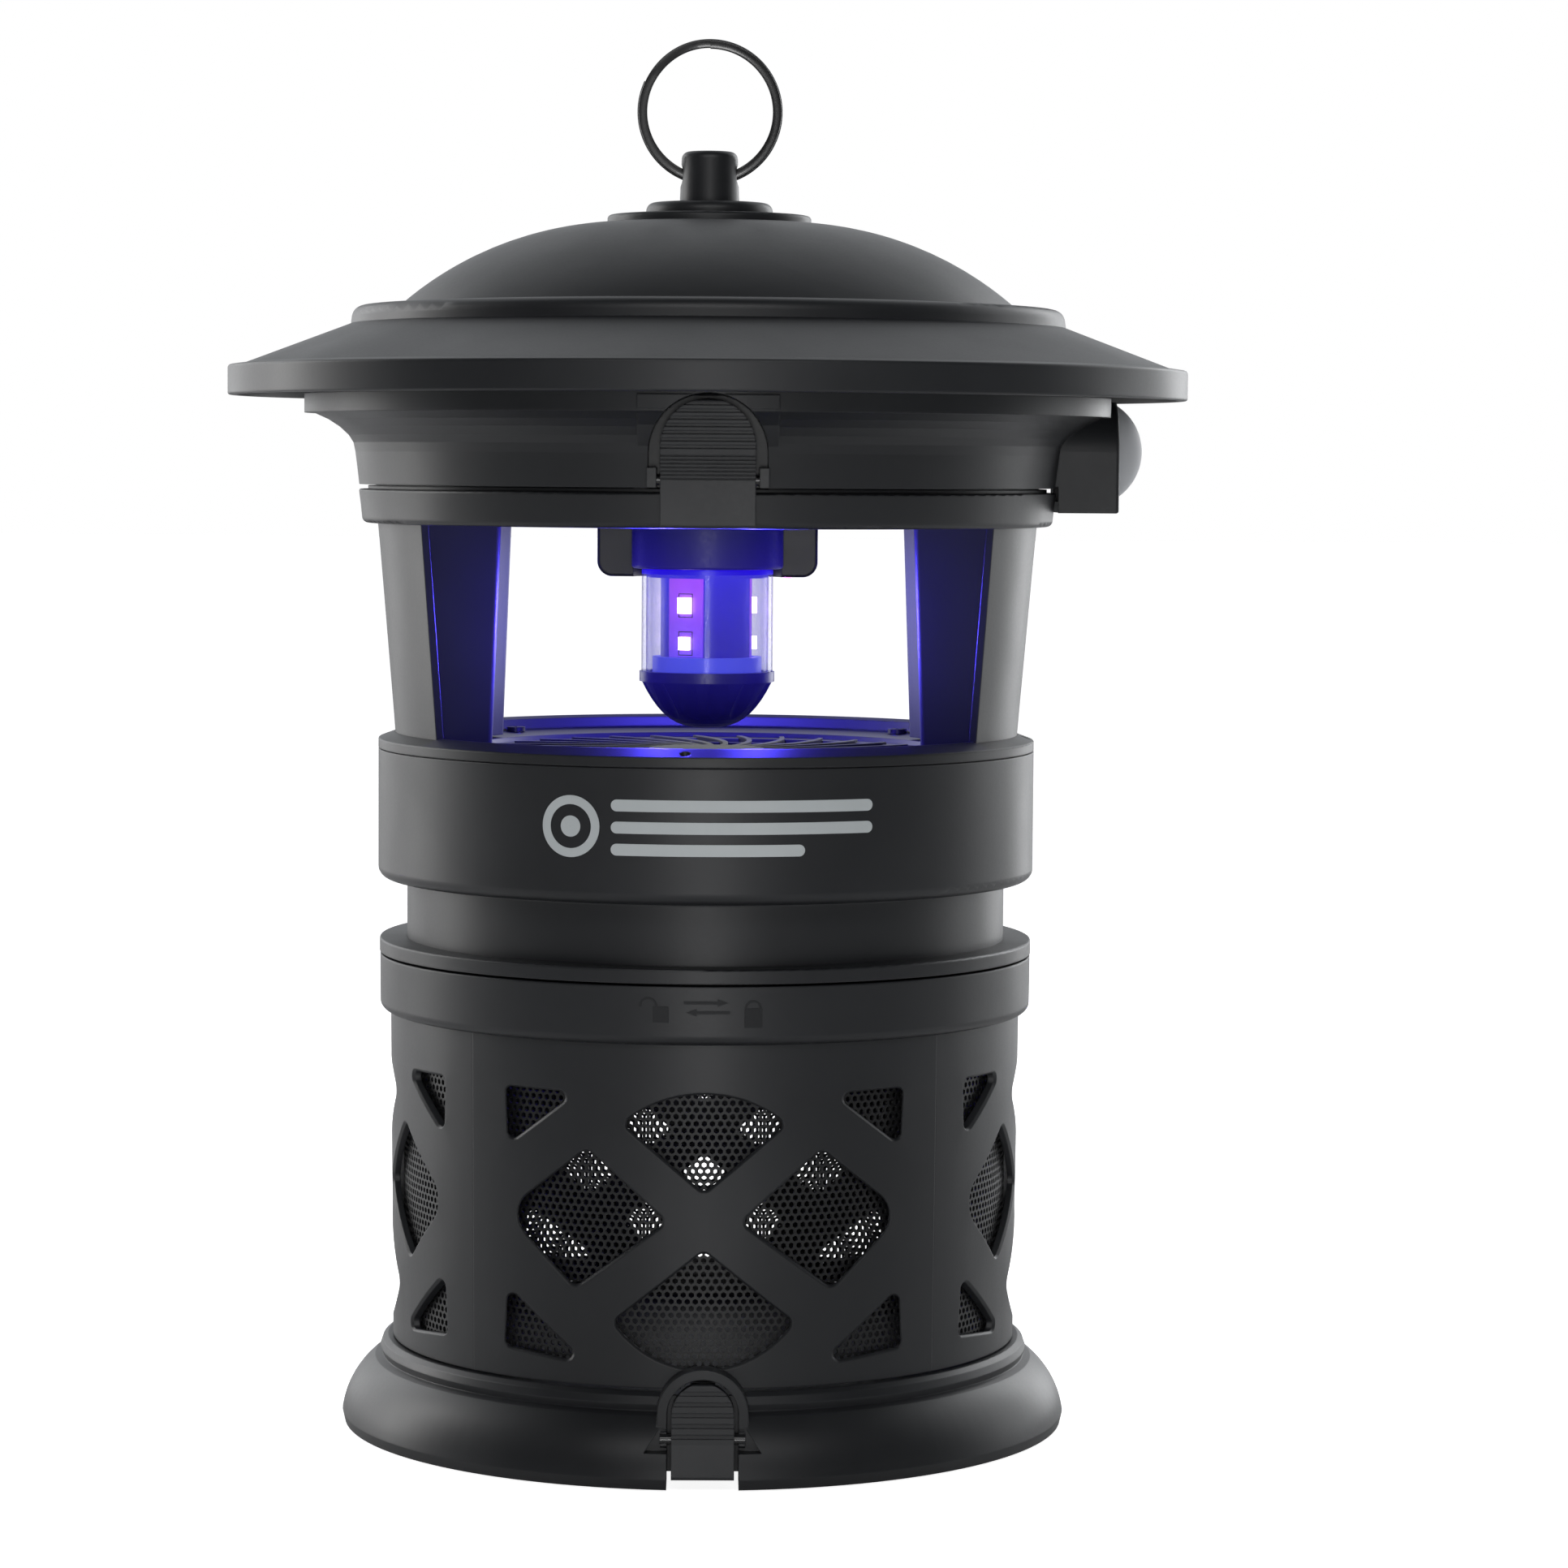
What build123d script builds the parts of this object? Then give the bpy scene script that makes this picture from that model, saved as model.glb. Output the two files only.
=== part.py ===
from build123d import *
import os
from math import atan2, cos, degrees, hypot, radians, sin

# Lantern-shaped insect trap: a roofed housing with an ultraviolet lamp over a fan,
# and a latticed catch basket below it. Millimetres, +Z up, the front faces -Y,
# the origin is the centre of the base on the ground.

# Heights of the joins between the big pieces, from the ground up
Z_SKIRT = 22.0             # top of the flared base
Z_PANEL = 22.5             # bottom of the lattice panels
Z_COLLAR = 107.7           # bottom of the basket collar
Z_FLANGE = 122.9           # bottom of the neck flange
Z_SHELF = 126.5            # top of the neck flange
Z_BAND = 142.0             # bottom of the fan housing's wide band
Z_PLATE = 175.8            # bottom of the intake plate
Z_CREST = 180.2            # raised rim of the intake plate
Z_POST_FOOT = 176.8        # the posts stand on the plate's ledge
Z_RING = 233.8             # bottom of the cage's top ring
Z_POST_TOP = 234.8
Z_SEAM = 242.5             # top of the cage's top ring
Z_HOUSING = 243.7          # bottom of the upper housing
Z_ROOF = 266.4             # bottom of the roof's rim
Z_RIM = 274.0              # top of the roof's rim
Z_CEILING = 238.2          # underside of the ceiling plate

# Radii
R_ROOF = 124.0
R_HOUSING = 90.3
R_RING = 89.7
R_BAND = 85.3
R_NECK = 77.8
R_COLLAR = 84.9
R_ROOF_SCREW = 94.8
R_FLANGE = 104.4           # flange of the housing, up under the roof
R_PANEL = 82.0             # outside of the lattice at its top
R_PANEL_FOOT = 81.3        # and at its bottom
R_MESH = 78.6
R_FOOT = 94.5
WALL = 2.4                 # usual wall of a moulding

# Posts of the cage, to the left and right of the lamp
POST_HALF_ANGLE = 33.0
POST_FOOT_R = 80.8
POST_HEAD_R = 85.4
POST_INNER_R = 61.5

# Lamp
R_TUBE = 17.1
R_SOCKET = 19.7
Z_SOCKET = 222.3
Z_TUBE = 195.6
Z_CAP_TIP = 180.9
R_CARRIER = 12.1
R_LAND = 10.9              # the post's flat lands, from the axis
LANDS = 3
STRIP_TURN = -29.0         # the first light strip's angle from the front
FLUTES = 12

# Fan
R_ROTOR = 70.0
R_SHROUD = 72.0
R_SHAFT = 1.5
BLADES = 7
VANES = 30
R_PLATE_SCREW = 73.4
X_LEAD = -76.0              # the fan lead runs down inside the left post

# Hinges and latches: each axis runs along X
LID_AXIS = (95.8, 243.1)       # y and z
DOOR_AXIS = (92.4, 21.9)
TOP_LATCH_AXIS = (-90.6, 245.6)
BASE_LATCH_AXIS = (-89.6, 11.7)
RING_PIVOT_Z = 323.85
RING_CENTRE_Z = 340.2
RING_R = 18.65
RING_WIRE = 2.8
R_PIN = 1.3
BASE_PIN = 10.4            # half the length of the base latch's pin
R_BUTTON = 12.2
BUTTON_Z = 253.2
X_BOSS = 105.9
GAP = 0.35                 # clearance between pieces that move past each other
CATCH_COUNT = 3            # bayonet lugs that hold the basket

# Outside of the upper housing, radius and height: an upright wall, then a cove up to the roof
HOUSING_WALL = [(R_HOUSING, Z_HOUSING), (91.3, 252.0), (91.8, 254.4), (93.0, 256.3)]
HOUSING_COVE = [(95.3, 258.4), (98.2, 260.3), (102.0, 262.0)]

LEFT, RIGHT, FRONT = -1, 1, -90


def near(shape, point):
    return min(shape.vertices(), key=lambda v: (v.center() - Vector(*point)).length)


def section(points, rounds=()):
    """A closed outline in the XZ plane; rounds pairs a corner's number with its radius."""
    corners = [(r, 0, z) for r, z in points]
    face = make_face(Polyline(*corners, close=True))
    for number, radius in rounds:
        face = face.face().fillet_2d(radius, [near(face, corners[number])])
    return face


def turned(points, rounds=()):
    """A ring or disc made by turning an outline round the vertical axis."""
    return revolve(section(points, rounds), Axis.Z)


def disc(radius, low, high, inner=0.0, at=(0, 0)):
    body = Pos(at[0], at[1], (low + high) / 2) * Cylinder(radius, high - low)
    if inner:
        body -= Pos(at[0], at[1], (low + high) / 2) * Cylinder(inner, high - low + 2)
    return body


def block(x, y, z):
    """A box from its low and high ends along each axis."""
    size = (x[1] - x[0], y[1] - y[0], z[1] - z[0])
    return Pos(sum(x) / 2, sum(y) / 2, sum(z) / 2) * Box(*size)


def rod_x(radius, low, high, y, z):
    return Pos((low + high) / 2, y, z) * Rot(0, 90, 0) * Cylinder(radius, high - low)


def rod_y(radius, low, high, x, z):
    return Pos(x, (low + high) / 2, z) * Rot(90, 0, 0) * Cylinder(radius, high - low)


def wedge(middle, half, low, high, reach=140):
    """A slice of the space round the axis, half degrees to each side of a direction."""
    ends = [radians(middle + side * half) for side in (-1, 1)]
    rim = reach / cos(radians(half))
    corners = [(0, 0)] + [(rim * cos(a), rim * sin(a)) for a in ends]
    face = make_face(Polyline(*corners, close=True))
    return Pos(0, 0, low) * extrude(face, high - low)


def around(radius, count, first=0.0):
    return [(radius * cos(radians(first + i * 360 / count)),
             radius * sin(radians(first + i * 360 / count)),
             first + i * 360 / count) for i in range(count)]


def solids_of(pieces):
    return Compound(children=[s for p in pieces for s in p.solids()])


# ---------------------------------------------------------------- roof and lid

def roof():
    skin = 2.3
    bow = Vector(54.5, 0, 305.3)
    dome = ThreePointArc((26.4, 0, 311.5), bow, (79.5, 0, 290.0))
    lower = ThreePointArc((79.0, 0, 287.2), (53.6, 0, 302.9), (26.4, 0, 308.9))
    outer = Polyline((79.5, 0, 290.0), (91.9, 0, 289.4), (92.5, 0, 284.9), (119.6, 0, 274.6),
                     (R_ROOF, 0, Z_RIM), (R_ROOF, 0, Z_ROOF))
    inner = Polyline((R_ROOF, 0, Z_ROOF), (R_ROOF - skin, 0, Z_ROOF), (R_ROOF - skin, 0, Z_RIM - skin),
                     (119.2, 0, 274.6 - skin), (90.6, 0, 283.0), (90.0, 0, 287.2), (79.0, 0, 287.2))
    top = Polyline((26.4, 0, 308.9), (4.2, 0, 309.4), (4.2, 0, 313.5), (26.4, 0, 313.5), (26.4, 0, 311.5))
    face = make_face(dome + outer + inner + lower + top)
    for corner, radius in (((91.9, 0, 289.4), 3.2), ((R_ROOF, 0, Z_RIM), 0.8), ((R_ROOF, 0, Z_ROOF), 0.6),
                           ((26.4, 0, 313.5), 1.0)):
        face = face.face().fillet_2d(radius, [near(face, corner)])
    shell = revolve(face, Axis.Z)
    for x, y, _ in around(R_ROOF_SCREW, 6, 15.0):
        shell += disc(3.6, 266.9, 281.4, at=(x, y))
        shell -= disc(1.3, 266, 275, at=(x, y))
    return shell


def finial():
    post = turned([(0, 304.0), (3.9, 304.0), (3.9, 313.5), (16.4, 313.5), (16.4, 316.7), (7.7, 317.0),
                   (7.2, 330.0), (0, 330.0)], [(4, 2.2), (6, 2.0)])
    return post - rod_x(2.9, -12, 12, 0, RING_PIVOT_Z)


def finialNut():
    washer_top = 308.9
    nut = Pos(0, 0, washer_top - 4.6) * extrude(RegularPolygon(7.5, 6), 3.4)
    return nut - disc(3.9, 300, 312)


def finialWasher():
    return disc(10.5, 307.7, 308.9, 3.95)


def hangingRing():
    face = Plane.XZ * Pos(RING_R - RING_WIRE / 2, 0) * RectangleRounded(RING_WIRE, RING_WIRE * 0.86, 0.4)
    ring = revolve(face, Axis.Z)
    return Pos(0, 0, RING_CENTRE_Z) * Rot(90, 0, 0) * ring


def upperHousing():
    shell = turned([(88.0, Z_HOUSING)] + HOUSING_WALL + HOUSING_COVE
                   + [(R_FLANGE, 262.0), (R_FLANGE, 266.9), (92.0, 266.9), (92.0, 264.6), (100.0, 264.6),
                      (95.5, 261.0), (91.0, 257.6), (88.8, 253.0)])
    shell = Rot(0, 0, 45) * shell + latchPocket() + buttonBoss()
    shell -= arched(10.2, 240.2, BUTTON_Z - 0.6, 78.0, X_BOSS - 8.0)
    shell -= rod_x(R_BUTTON + GAP, X_BOSS - 9, X_BOSS + 1, 0, BUTTON_Z)
    shell -= block((-14.5, 14.5), (-112, -86.6), (Z_HOUSING - 1, 252.0))
    shell -= Pos(0, -99.3, 252.0) * Rot(90, 0, 0) * Cylinder(14.5, 25.4)
    for side in (LEFT, RIGHT):
        arm = block((side * 13 - 3.2, side * 13 + 3.2), (88.4, LID_AXIS[0]), (244.0, 249.0))
        arm = arm + rod_x(3.3, side * 13 - 3.2, side * 13 + 3.2, *LID_AXIS)
        shell += arm - disc(R_HOUSING - 1.2, 240, 255)
        ear = block((side * 13.6 - 1.2, side * 13.6 + 1.2), (-92.6, -86.0), (Z_HOUSING, 248.6))
        shell += ear
    shell -= rod_x(1.5, -20, 20, *LID_AXIS)
    shell -= rod_x(R_PIN, -14.4, 14.4, *TOP_LATCH_AXIS)
    for x, y, _ in around(R_ROOF_SCREW, 6, 15.0):
        shell -= disc(1.6, 263.6, 270, at=(x, y))
    return shell - inletRod(3.9, 80, 100)


def arched(radius, foot, centre, x0, x1):
    """A tall arch, flat at its foot, carried along X."""
    return block((x0, x1), (-radius, radius), (foot, centre)) + rod_x(radius, x0, x1, 0, centre)


def buttonBoss():
    outer = arched(13.6, 237.4, BUTTON_Z, 87.0, X_BOSS)
    outer = outer.fillet(0.8, outer.faces().sort_by(Axis.X)[-1].edges())
    outer -= disc(91.2, 230, Z_HOUSING + 0.4) + disc(89.4, 240, 280)
    return outer & disc(140, 230, 266.0)


def latchPocket():
    back = block((-17.0, 17.0), (-106, -84.4), (Z_HOUSING, 266.0))
    curve = disc(105.4, 262.6, 266.0) + disc(90.2, Z_HOUSING, 266.0)
    cove = turned([(0, 253), (91.0, 253), (96.5, 258.8), (103.5, 263.0), (0, 263.0)])
    return back & (curve + cove)


def inletRod(radius, inner, outer):
    """A cylinder that lies along the inlet's own axis, at the rear left of the housing."""
    return Rot(0, 0, 128) * Pos((inner + outer) / 2, 0, 249.3) * Rot(0, 90, 0) * Cylinder(radius, outer - inner)


def powerInlet():
    wall = turned([(0, Z_HOUSING)] + HOUSING_WALL + [(0, HOUSING_WALL[-1][1])])
    flange = inletRod(5.2, 88.0, 93.4) - wall
    sleeve = inletRod(3.85, 80.0, 93.4) + flange - inletRod(2.6, 83.0, 95.0)
    return sleeve + inletRod(0.9, 82.0, 92.0)


def lidHingePin():
    pin = rod_x(1.5, -16.2, 16.2, *LID_AXIS)
    return pin + rod_x(2.3, 16.2, 17.4, *LID_AXIS)


def ceilingPlate():
    plate = disc(85.6, Z_CEILING, Z_CEILING + 2.2) - disc(14.6, 230, 245)
    rim = disc(87.9, 244.2, 250.0, 85.0) + disc(86.0, Z_CEILING, 250.0, 83.8)
    plate += rim - latchRelief() - block((70, 92), (-9, 9), (Z_CEILING + 2.2, 256))
    plate -= inletRod(5.0, 75, 95)
    for x, y, _ in around(70.0, 6, 30.0):
        plate += disc(4.2, 240.0, 246.0, at=(x, y))
        plate -= disc(1.4, 237, 250, at=(x, y))
    for x, y in boardPosts():
        plate += disc(3.0, 240.0, 247.0, at=(x, y)) - disc(1.2, 241.5, 250, at=(x, y))
    return plate


def latchRelief():
    return block((-18, 18), (-95, -82.6), (230, 256))


def boardPosts():
    return [(x, y) for x in (-36, 36) for y in (22, 64)]


def ceilingScrews():
    screws = []
    for x, y, _ in around(70.0, 6, 30.0):
        screws.append(disc(1.4, Z_CEILING, 246.0, at=(x, y)) + disc(2.9, Z_CEILING - 1.5, Z_CEILING, at=(x, y))
                      - crossSlot(x, y, Z_CEILING - 1.5))
    return solids_of(screws)


def crossSlot(x, y, z):
    wide = block((x - 1.7, x + 1.7), (y - 0.35, y + 0.35), (z - 0.5, z + 0.8))
    return wide + block((x - 0.35, x + 0.35), (y - 1.7, y + 1.7), (z - 0.5, z + 0.8))


def roofScrews():
    screws = [disc(1.3, 263.2, 274.0, at=(x, y)) + disc(2.5, 263.2, 264.6, at=(x, y))
              for x, y, _ in around(R_ROOF_SCREW, 6, 15.0)]
    return solids_of(screws)


def driverBoard():
    board = block((-42, 42), (14, 72), (247.0, 248.6))
    for x, y in boardPosts():
        board -= disc(1.3, 240, 250, at=(x, y))
    return board & disc(80, 240, 255)


def boardScrews():
    return solids_of([disc(1.2, 241.5, 248.6, at=p) + disc(2.6, 248.6, 250.2, at=p) for p in boardPosts()])


def boardParts():
    parts = [block((-24, -4), (34, 52), (248.6, 263.0)),
             disc(5.0, 248.6, 262.0, at=(8, 30)), disc(4.0, 248.6, 260.0, at=(18, 52)),
             block((22, 34), (36, 46), (248.6, 256.0)), block((-34, -28), (28, 58), (248.6, 253.5)),
             block((4, 12), (58, 68), (248.6, 257.0)), block((-16, -4), (58, 64), (248.6, 251.5))]
    return solids_of(parts)


def switchBody():
    case = block((80.5, 89.5), (-6.5, 6.5), (244.0, 257.0))
    plunger = rod_x(2.2, 89.5, 92.6, 0, BUTTON_Z)
    return case + plunger


def powerButton():
    """A low dome on a short skirt, sliding in the boss."""
    rise = 6.9
    ball = (R_BUTTON ** 2 + rise ** 2) / (2 * rise)
    cap = Pos(0, 0, rise - ball) * Sphere(ball) & Pos(0, 0, rise / 2) * Cylinder(R_BUTTON, rise)
    button = cap + Pos(0, 0, -2.0) * Cylinder(R_BUTTON, 4.0) - Pos(0, 0, -2.4) * Cylinder(10.4, 4.4)
    button += Pos(0, 0, -5.0) * Cylinder(2.0, 11.0)
    return Pos(X_BOSS, 0, BUTTON_Z) * Rot(0, 90, 0) * button


# ---------------------------------------------------------------- top latch

def leverSide(points, rounds, half_width):
    """A lever: its side outline in the YZ plane, carried across its width."""
    corners = [(0, y, z) for y, z in points]
    face = make_face(Polyline(*corners, close=True))
    for number, radius in rounds:
        face = face.face().fillet_2d(radius, [near(face, corners[number])])
    return extrude(face, half_width, dir=(1, 0, 0), both=True)


def archBound(half_width, centre, low):
    """The space under an arch, seen from the front."""
    return block((-half_width, half_width), (-140, 0), (low, centre)) + rod_y(half_width, -140, 0, 0, centre)


def topLatchLever():
    half = 11.5
    lever = leverSide([(-93.6, 234.0), (-93.6, 246.0), (-96.4, 264.9), (-93.4, 265.2), (-91.0, 249.6),
                       (-88.2, 248.0), (-88.2, 243.9), (-90.95, 243.4), (-90.95, 237.4), (-90.95, 234.0)],
                      [(0, 0.9), (2, 1.2)], half)
    lever &= archBound(half, 253.7, 230.0)
    ribs = [(263.95 - i * 1.73, 0.42, 0.6) for i in range(7)]
    fine_lines = [(251.4 - i * 0.92, 0.14, 0.25) for i in range(7)]
    for z, rise, depth in ribs + fine_lines:
        y = -93.6 - max(0.0, z - 246.0) * 2.8 / 18.9
        lever -= block((-half - 1, half + 1), (y - 1.0, y + depth), (z - rise, z + rise))
    lever -= rod_x(R_PIN + 0.05, -15, 15, *TOP_LATCH_AXIS)
    lever -= block((-4.0, 4.0), (-92.4, -80), (243.2, 248.4))
    return lever + block((-7.2, 7.2), (-91.2, -89.2), (235.2, 237.0))


def topLatchPin():
    return rod_x(R_PIN, -14.4, 14.4, *TOP_LATCH_AXIS)


def springCoil(axis_yz, inner, wire, turns, tail):
    """A torsion spring: close turns round a pin, with one tail resting behind it."""
    y, z = axis_yz
    coil = None
    for i in range(turns):
        x = (i - (turns - 1) / 2) * (wire * 0.96)
        turn = Pos(x, y, z) * Rot(0, 90, 0) * Torus(inner + wire / 2, wire / 2)
        coil = turn if coil is None else coil + turn
    x = (turns - 1) / 2 * (wire * 0.96)
    return coil + Pos(x, y + inner + wire / 2, z + tail / 2) * Cylinder(wire / 2, tail)


def topLatchSpring():
    return springCoil(TOP_LATCH_AXIS, R_PIN + 0.02, 0.5, 6, 2.4)


# ---------------------------------------------------------------- lamp

def lampBracket():
    bar = block((-28.8, 28.8), (4.0, 24.0), (220.0, Z_CEILING))
    corners = bar.edges().filter_by(Axis.Y).filter_by_position(Axis.Z, 219.9, 220.1)
    bar = bar.fillet(4.0, corners)
    bar = bar.fillet(0.8, bar.faces().sort_by(Axis.Y)[0].edges())
    return bar - disc(R_SOCKET + 0.05, 215, 240) - disc(1.1, 219, 222.5, at=(21, 14))


def indicatorLens():
    return disc(1.1, 219.5, 222.5, at=(21, 14))


def lampSocket():
    cup = turned([(0, Z_CEILING), (R_SOCKET, Z_CEILING), (R_SOCKET, Z_SOCKET), (15.4, Z_SOCKET), (15.4, 234.0),
                  (0, 234.0)], [(2, 0.8)])
    return cup + disc(14.5, Z_CEILING, Z_CEILING + 2.2)


def lampBase():
    plug = disc(15.0, 221.9, 228.6) + disc(R_TUBE - 1.25, 220.0, 220.9) + disc(R_TUBE, 220.9, 221.95)
    for x, y in ((-6, 0), (6, 0)):
        plug += disc(1.6, 228.6, 232.6, at=(x, y))
    return plug


def clearTube():
    return disc(R_TUBE, Z_TUBE, 220.9, R_TUBE - 1.2)


def onLands(shape):
    """The same piece on each of the post's lands, from the one that faces the front."""
    return [Rot(0, 0, FRONT + STRIP_TURN + i * 360 / LANDS) * shape for i in range(LANDS)]


def ledCarrier():
    """A tube with flat lands, one for each light strip."""
    post = disc(R_CARRIER, 194.0, 220.0) - disc(R_CARRIER - 2.2, 190.0, 217.0)
    for cut in onLands(block((R_LAND, 20), (-8, 8), (190, 221))):
        post -= cut
    return post


def ledStrips():
    return solids_of(onLands(block((R_LAND, R_LAND + 0.6), (-4.9, 4.9), (199.5, 219.8))))


def leds():
    """A large light chip over a small one on each strip."""
    chips = []
    for z, half, rise in ((212.9, 1.7, 2.05), (203.1, 1.4, 1.65)):
        chips += onLands(block((R_LAND + 0.6, R_LAND + 2.0), (-half, half), (z - rise, z + rise)))
    return solids_of(chips)


def lampCollar():
    return disc(14.2, 194.0, 199.4, R_CARRIER + 0.02)


def lampCap():
    """A rim, then a fluted dome that narrows to a blunt tip."""
    steps = 9
    depths = [1 - (1 - i / steps) ** 2 for i in range(steps)]
    dome = [(17.0 * (1 - depth) ** 0.34, 193.0 - (193.0 - Z_CAP_TIP) * depth) for depth in depths]
    cap = turned(dome + [(0, Z_CAP_TIP), (0, 194.0), (15.8, 194.0), (15.8, Z_TUBE), (17.6, Z_TUBE), (17.6, 193.0)])
    below_rim = disc(30, 170, 192.7)
    for x, y, angle in around(17.5, FLUTES, 11.0):
        cap -= Pos(x, y, 185.8) * Rot(0, 0, angle) * Rot(0, 33, 0) * Cylinder(5.0, 22) & below_rim
    return cap


# ---------------------------------------------------------------- cage

def cageFrame():
    ring = turned([(80.0, Z_RING + 2.4), (80.0, Z_RING), (R_RING - 0.3, Z_RING), (90.4, Z_SEAM),
                   (88.0, Z_SEAM), (88.0, 243.4), (87.1, 243.4), (87.1, Z_RING + 2.4)], [(2, 1.6), (3, 0.5)])
    ring -= block((-8.0, 8.0), (-95, -88.9), (234.6, 250))
    for side in (LEFT, RIGHT):
        ring += post(side)
    arm = block((-9.4, 9.4), (87.8, LID_AXIS[0]), (238.0, 242.2)) + rod_x(3.3, -9.4, 9.4, *LID_AXIS)
    arm -= disc(88.8, 230, 250)
    arm -= block((-12, 12), (85, 92.0), (242.5, 250))
    ring += arm
    return ring - rod_x(1.56, -20, 20, *LID_AXIS)


def post(side):
    """One wide post: a bowed outer skin over a hollow column with radial sides."""
    middle = 0 if side == RIGHT else 180
    low, high = Z_POST_FOOT, Z_POST_TOP
    slope = (POST_HEAD_R - POST_FOOT_R) / (233.0 - 178.0)
    foot, head = POST_FOOT_R + slope * (low - 178.0), POST_FOOT_R + slope * (high - 178.0)
    skin = turned([(foot - 2.2, low), (foot, low), (head, high), (head - 2.2, high)])
    skin &= wedge(middle, POST_HALF_ANGLE, low, high)
    column = turned([(POST_INNER_R + 1.4, low), (foot - 1.2, low), (head - 1.2, high), (POST_INNER_R - 1.2, high)])
    column &= wedge(middle, POST_HALF_ANGLE - 1.7, low, high)
    corners = [e for e in column.edges() if abs(e.tangent_at(0).Z) > 0.9 and
               hypot(e.center().X, e.center().Y) < 66]
    column = column.fillet(2.0, corners)
    hollow = turned([(POST_INNER_R + 3.8, low - 1), (foot - 3.4, low - 1), (head - 3.4, high + 1),
                     (POST_INNER_R + 1.2, high + 1)])
    hollow &= wedge(middle, POST_HALF_ANGLE - 4.2, low - 1, high + 1)
    return skin + column - hollow


def intakePlate():
    """A dished plate with a raised, sloping rim and a stepped bowl down to the grille."""
    plate = turned([(58.0, 172.4), (84.9, 172.4), (84.9, Z_PLATE), (R_BAND, Z_PLATE), (R_BAND, 178.2),
                    (79.8, Z_CREST), (78.2, 179.4), (77.4, 176.6), (62.0, 176.0), (61.2, 174.8),
                    (58.0, 174.8)], [(4, 0.4), (5, 1.0), (7, 0.8)])
    for x, y, _ in around(83.0, 4, -93.6):
        plate -= disc(1.35, 177.6, 182, at=(x, y))
    for x, y, _ in around(R_PLATE_SCREW, 4, 45.0):
        plate -= disc(1.6, 170, 180, at=(x, y))
    for middle in (0, 180):
        seat = turned([(60.0, Z_POST_FOOT), (POST_FOOT_R - 0.1, Z_POST_FOOT), (POST_FOOT_R + 0.34, 182.0), (60.0, 182.0)])
        plate -= seat & wedge(middle, POST_HALF_ANGLE + 0.05, Z_POST_FOOT, 182.0)
    return plate - disc(1.6, 165, 185, at=(X_LEAD, 0))


def intakeScrews():
    screws = [disc(1.6, 168.6, 176.6, at=(x, y)) + disc(2.6, 176.6, 177.8, at=(x, y))
              - crossSlot(x, y, 177.6) for x, y, _ in around(R_PLATE_SCREW, 4, 45.0)]
    return solids_of(screws)


def vane(angle):
    """One grille bar: it leaves the hub along a radius and sweeps round as it goes out."""
    half = 0.65
    path = [(13.0, 0.0), (34.0, 6.5), (56.4, 24.0)]
    left = [(r - half * 0.3, s + half) for r, s in path]
    right = [(r + half * 0.3, s - half) for r, s in path]
    edge = ThreePointArc(*left) + Line(left[2], right[2]) + ThreePointArc(*right[::-1])
    face = make_face(edge + Line(right[0], left[0]))
    return Rot(0, 0, angle) * Pos(0, 0, 171.6) * extrude(face, 3.9)


def intakeGrille():
    grille = disc(62.0 - 4.1, 171.6, 174.8, 55.0) + disc(15.0, 171.6, 175.5)
    grille += disc(36.4, 171.6, 174.9, 35.0)
    for i in range(VANES):
        grille += vane(i * 360 / VANES) & disc(57.0, 165, 180)
    return grille


def fanHousing():
    shell = turned([(R_NECK - WALL, 112.0), (R_NECK, 112.0), (R_NECK, Z_BAND), (R_BAND, Z_BAND),
                    (R_BAND, Z_PLATE - 0.4), (R_BAND - 0.6, Z_PLATE), (84.9, Z_PLATE), (84.9, 172.4),
                    (83.0, 172.4), (83.0, Z_BAND + WALL), (R_NECK - WALL, Z_BAND + WALL)],
                   [(3, 3.0), (2, 0.8)])
    for i in range(CATCH_COUNT):
        lug = disc(80.6, 113.0, 116.0, R_NECK - 1.0) & wedge(30 + i * 120, 6, 110, 120)
        shell += lug
    return shell


def neckFlange():
    return turned([(R_NECK, Z_FLANGE), (R_COLLAR, Z_FLANGE), (R_COLLAR, Z_SHELF), (R_NECK, Z_SHELF)], [(2, 0.5)])


def fanFrame():
    """The duct round the blades, with arms that carry the motor cup."""
    frame = disc(R_SHROUD + 2.0, 144.4, 172.4, R_SHROUD)
    frame += disc(75.4, 144.4, 146.8, R_SHROUD) + disc(82.9, 169.8, 172.4, R_SHROUD)
    cup = disc(20.0, 136.0, 148.0, 17.2) + disc(20.0, 133.6, 136.0)
    frame += cup
    for i in range(4):
        arm = block((18.5, R_SHROUD + 1.5), (-2.0, 2.0), (138.0, 146.4))
        frame += Rot(0, 0, 45 + i * 90) * arm
    for x, y, _ in around(R_PLATE_SCREW, 4, 45.0):
        frame -= disc(1.6, 168.6, 175, at=(x, y))
    frame -= disc(1.6, 165, 175, at=(X_LEAD, 0))
    frame -= block((-86, -70), (-2.6, 2.6), (144.0, 153.0))
    return frame - block((-22, -16), (-2.6, 2.6), (144.0, 150.4))


def fanMotor():
    motor = turned([(1.56, 136.0), (17.1, 136.0), (17.1, 152.6), (6.0, 152.6), (6.0, 154.0), (1.56, 154.0)],
                   [(2, 1.0)])
    return motor


def motorShaft():
    return disc(R_SHAFT, 137.0, 165.0)


def fanRotor():
    hub = disc(21.0, 155.0, 167.0, 0) - disc(19.0, 150.0, 165.2)
    hub += disc(4.0, 155.2, 166.0)
    for i in range(BLADES):
        hub += Rot(0, 0, i * 360 / BLADES) * blade()
    return hub - disc(R_SHAFT, 150.0, 165.0)


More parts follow.
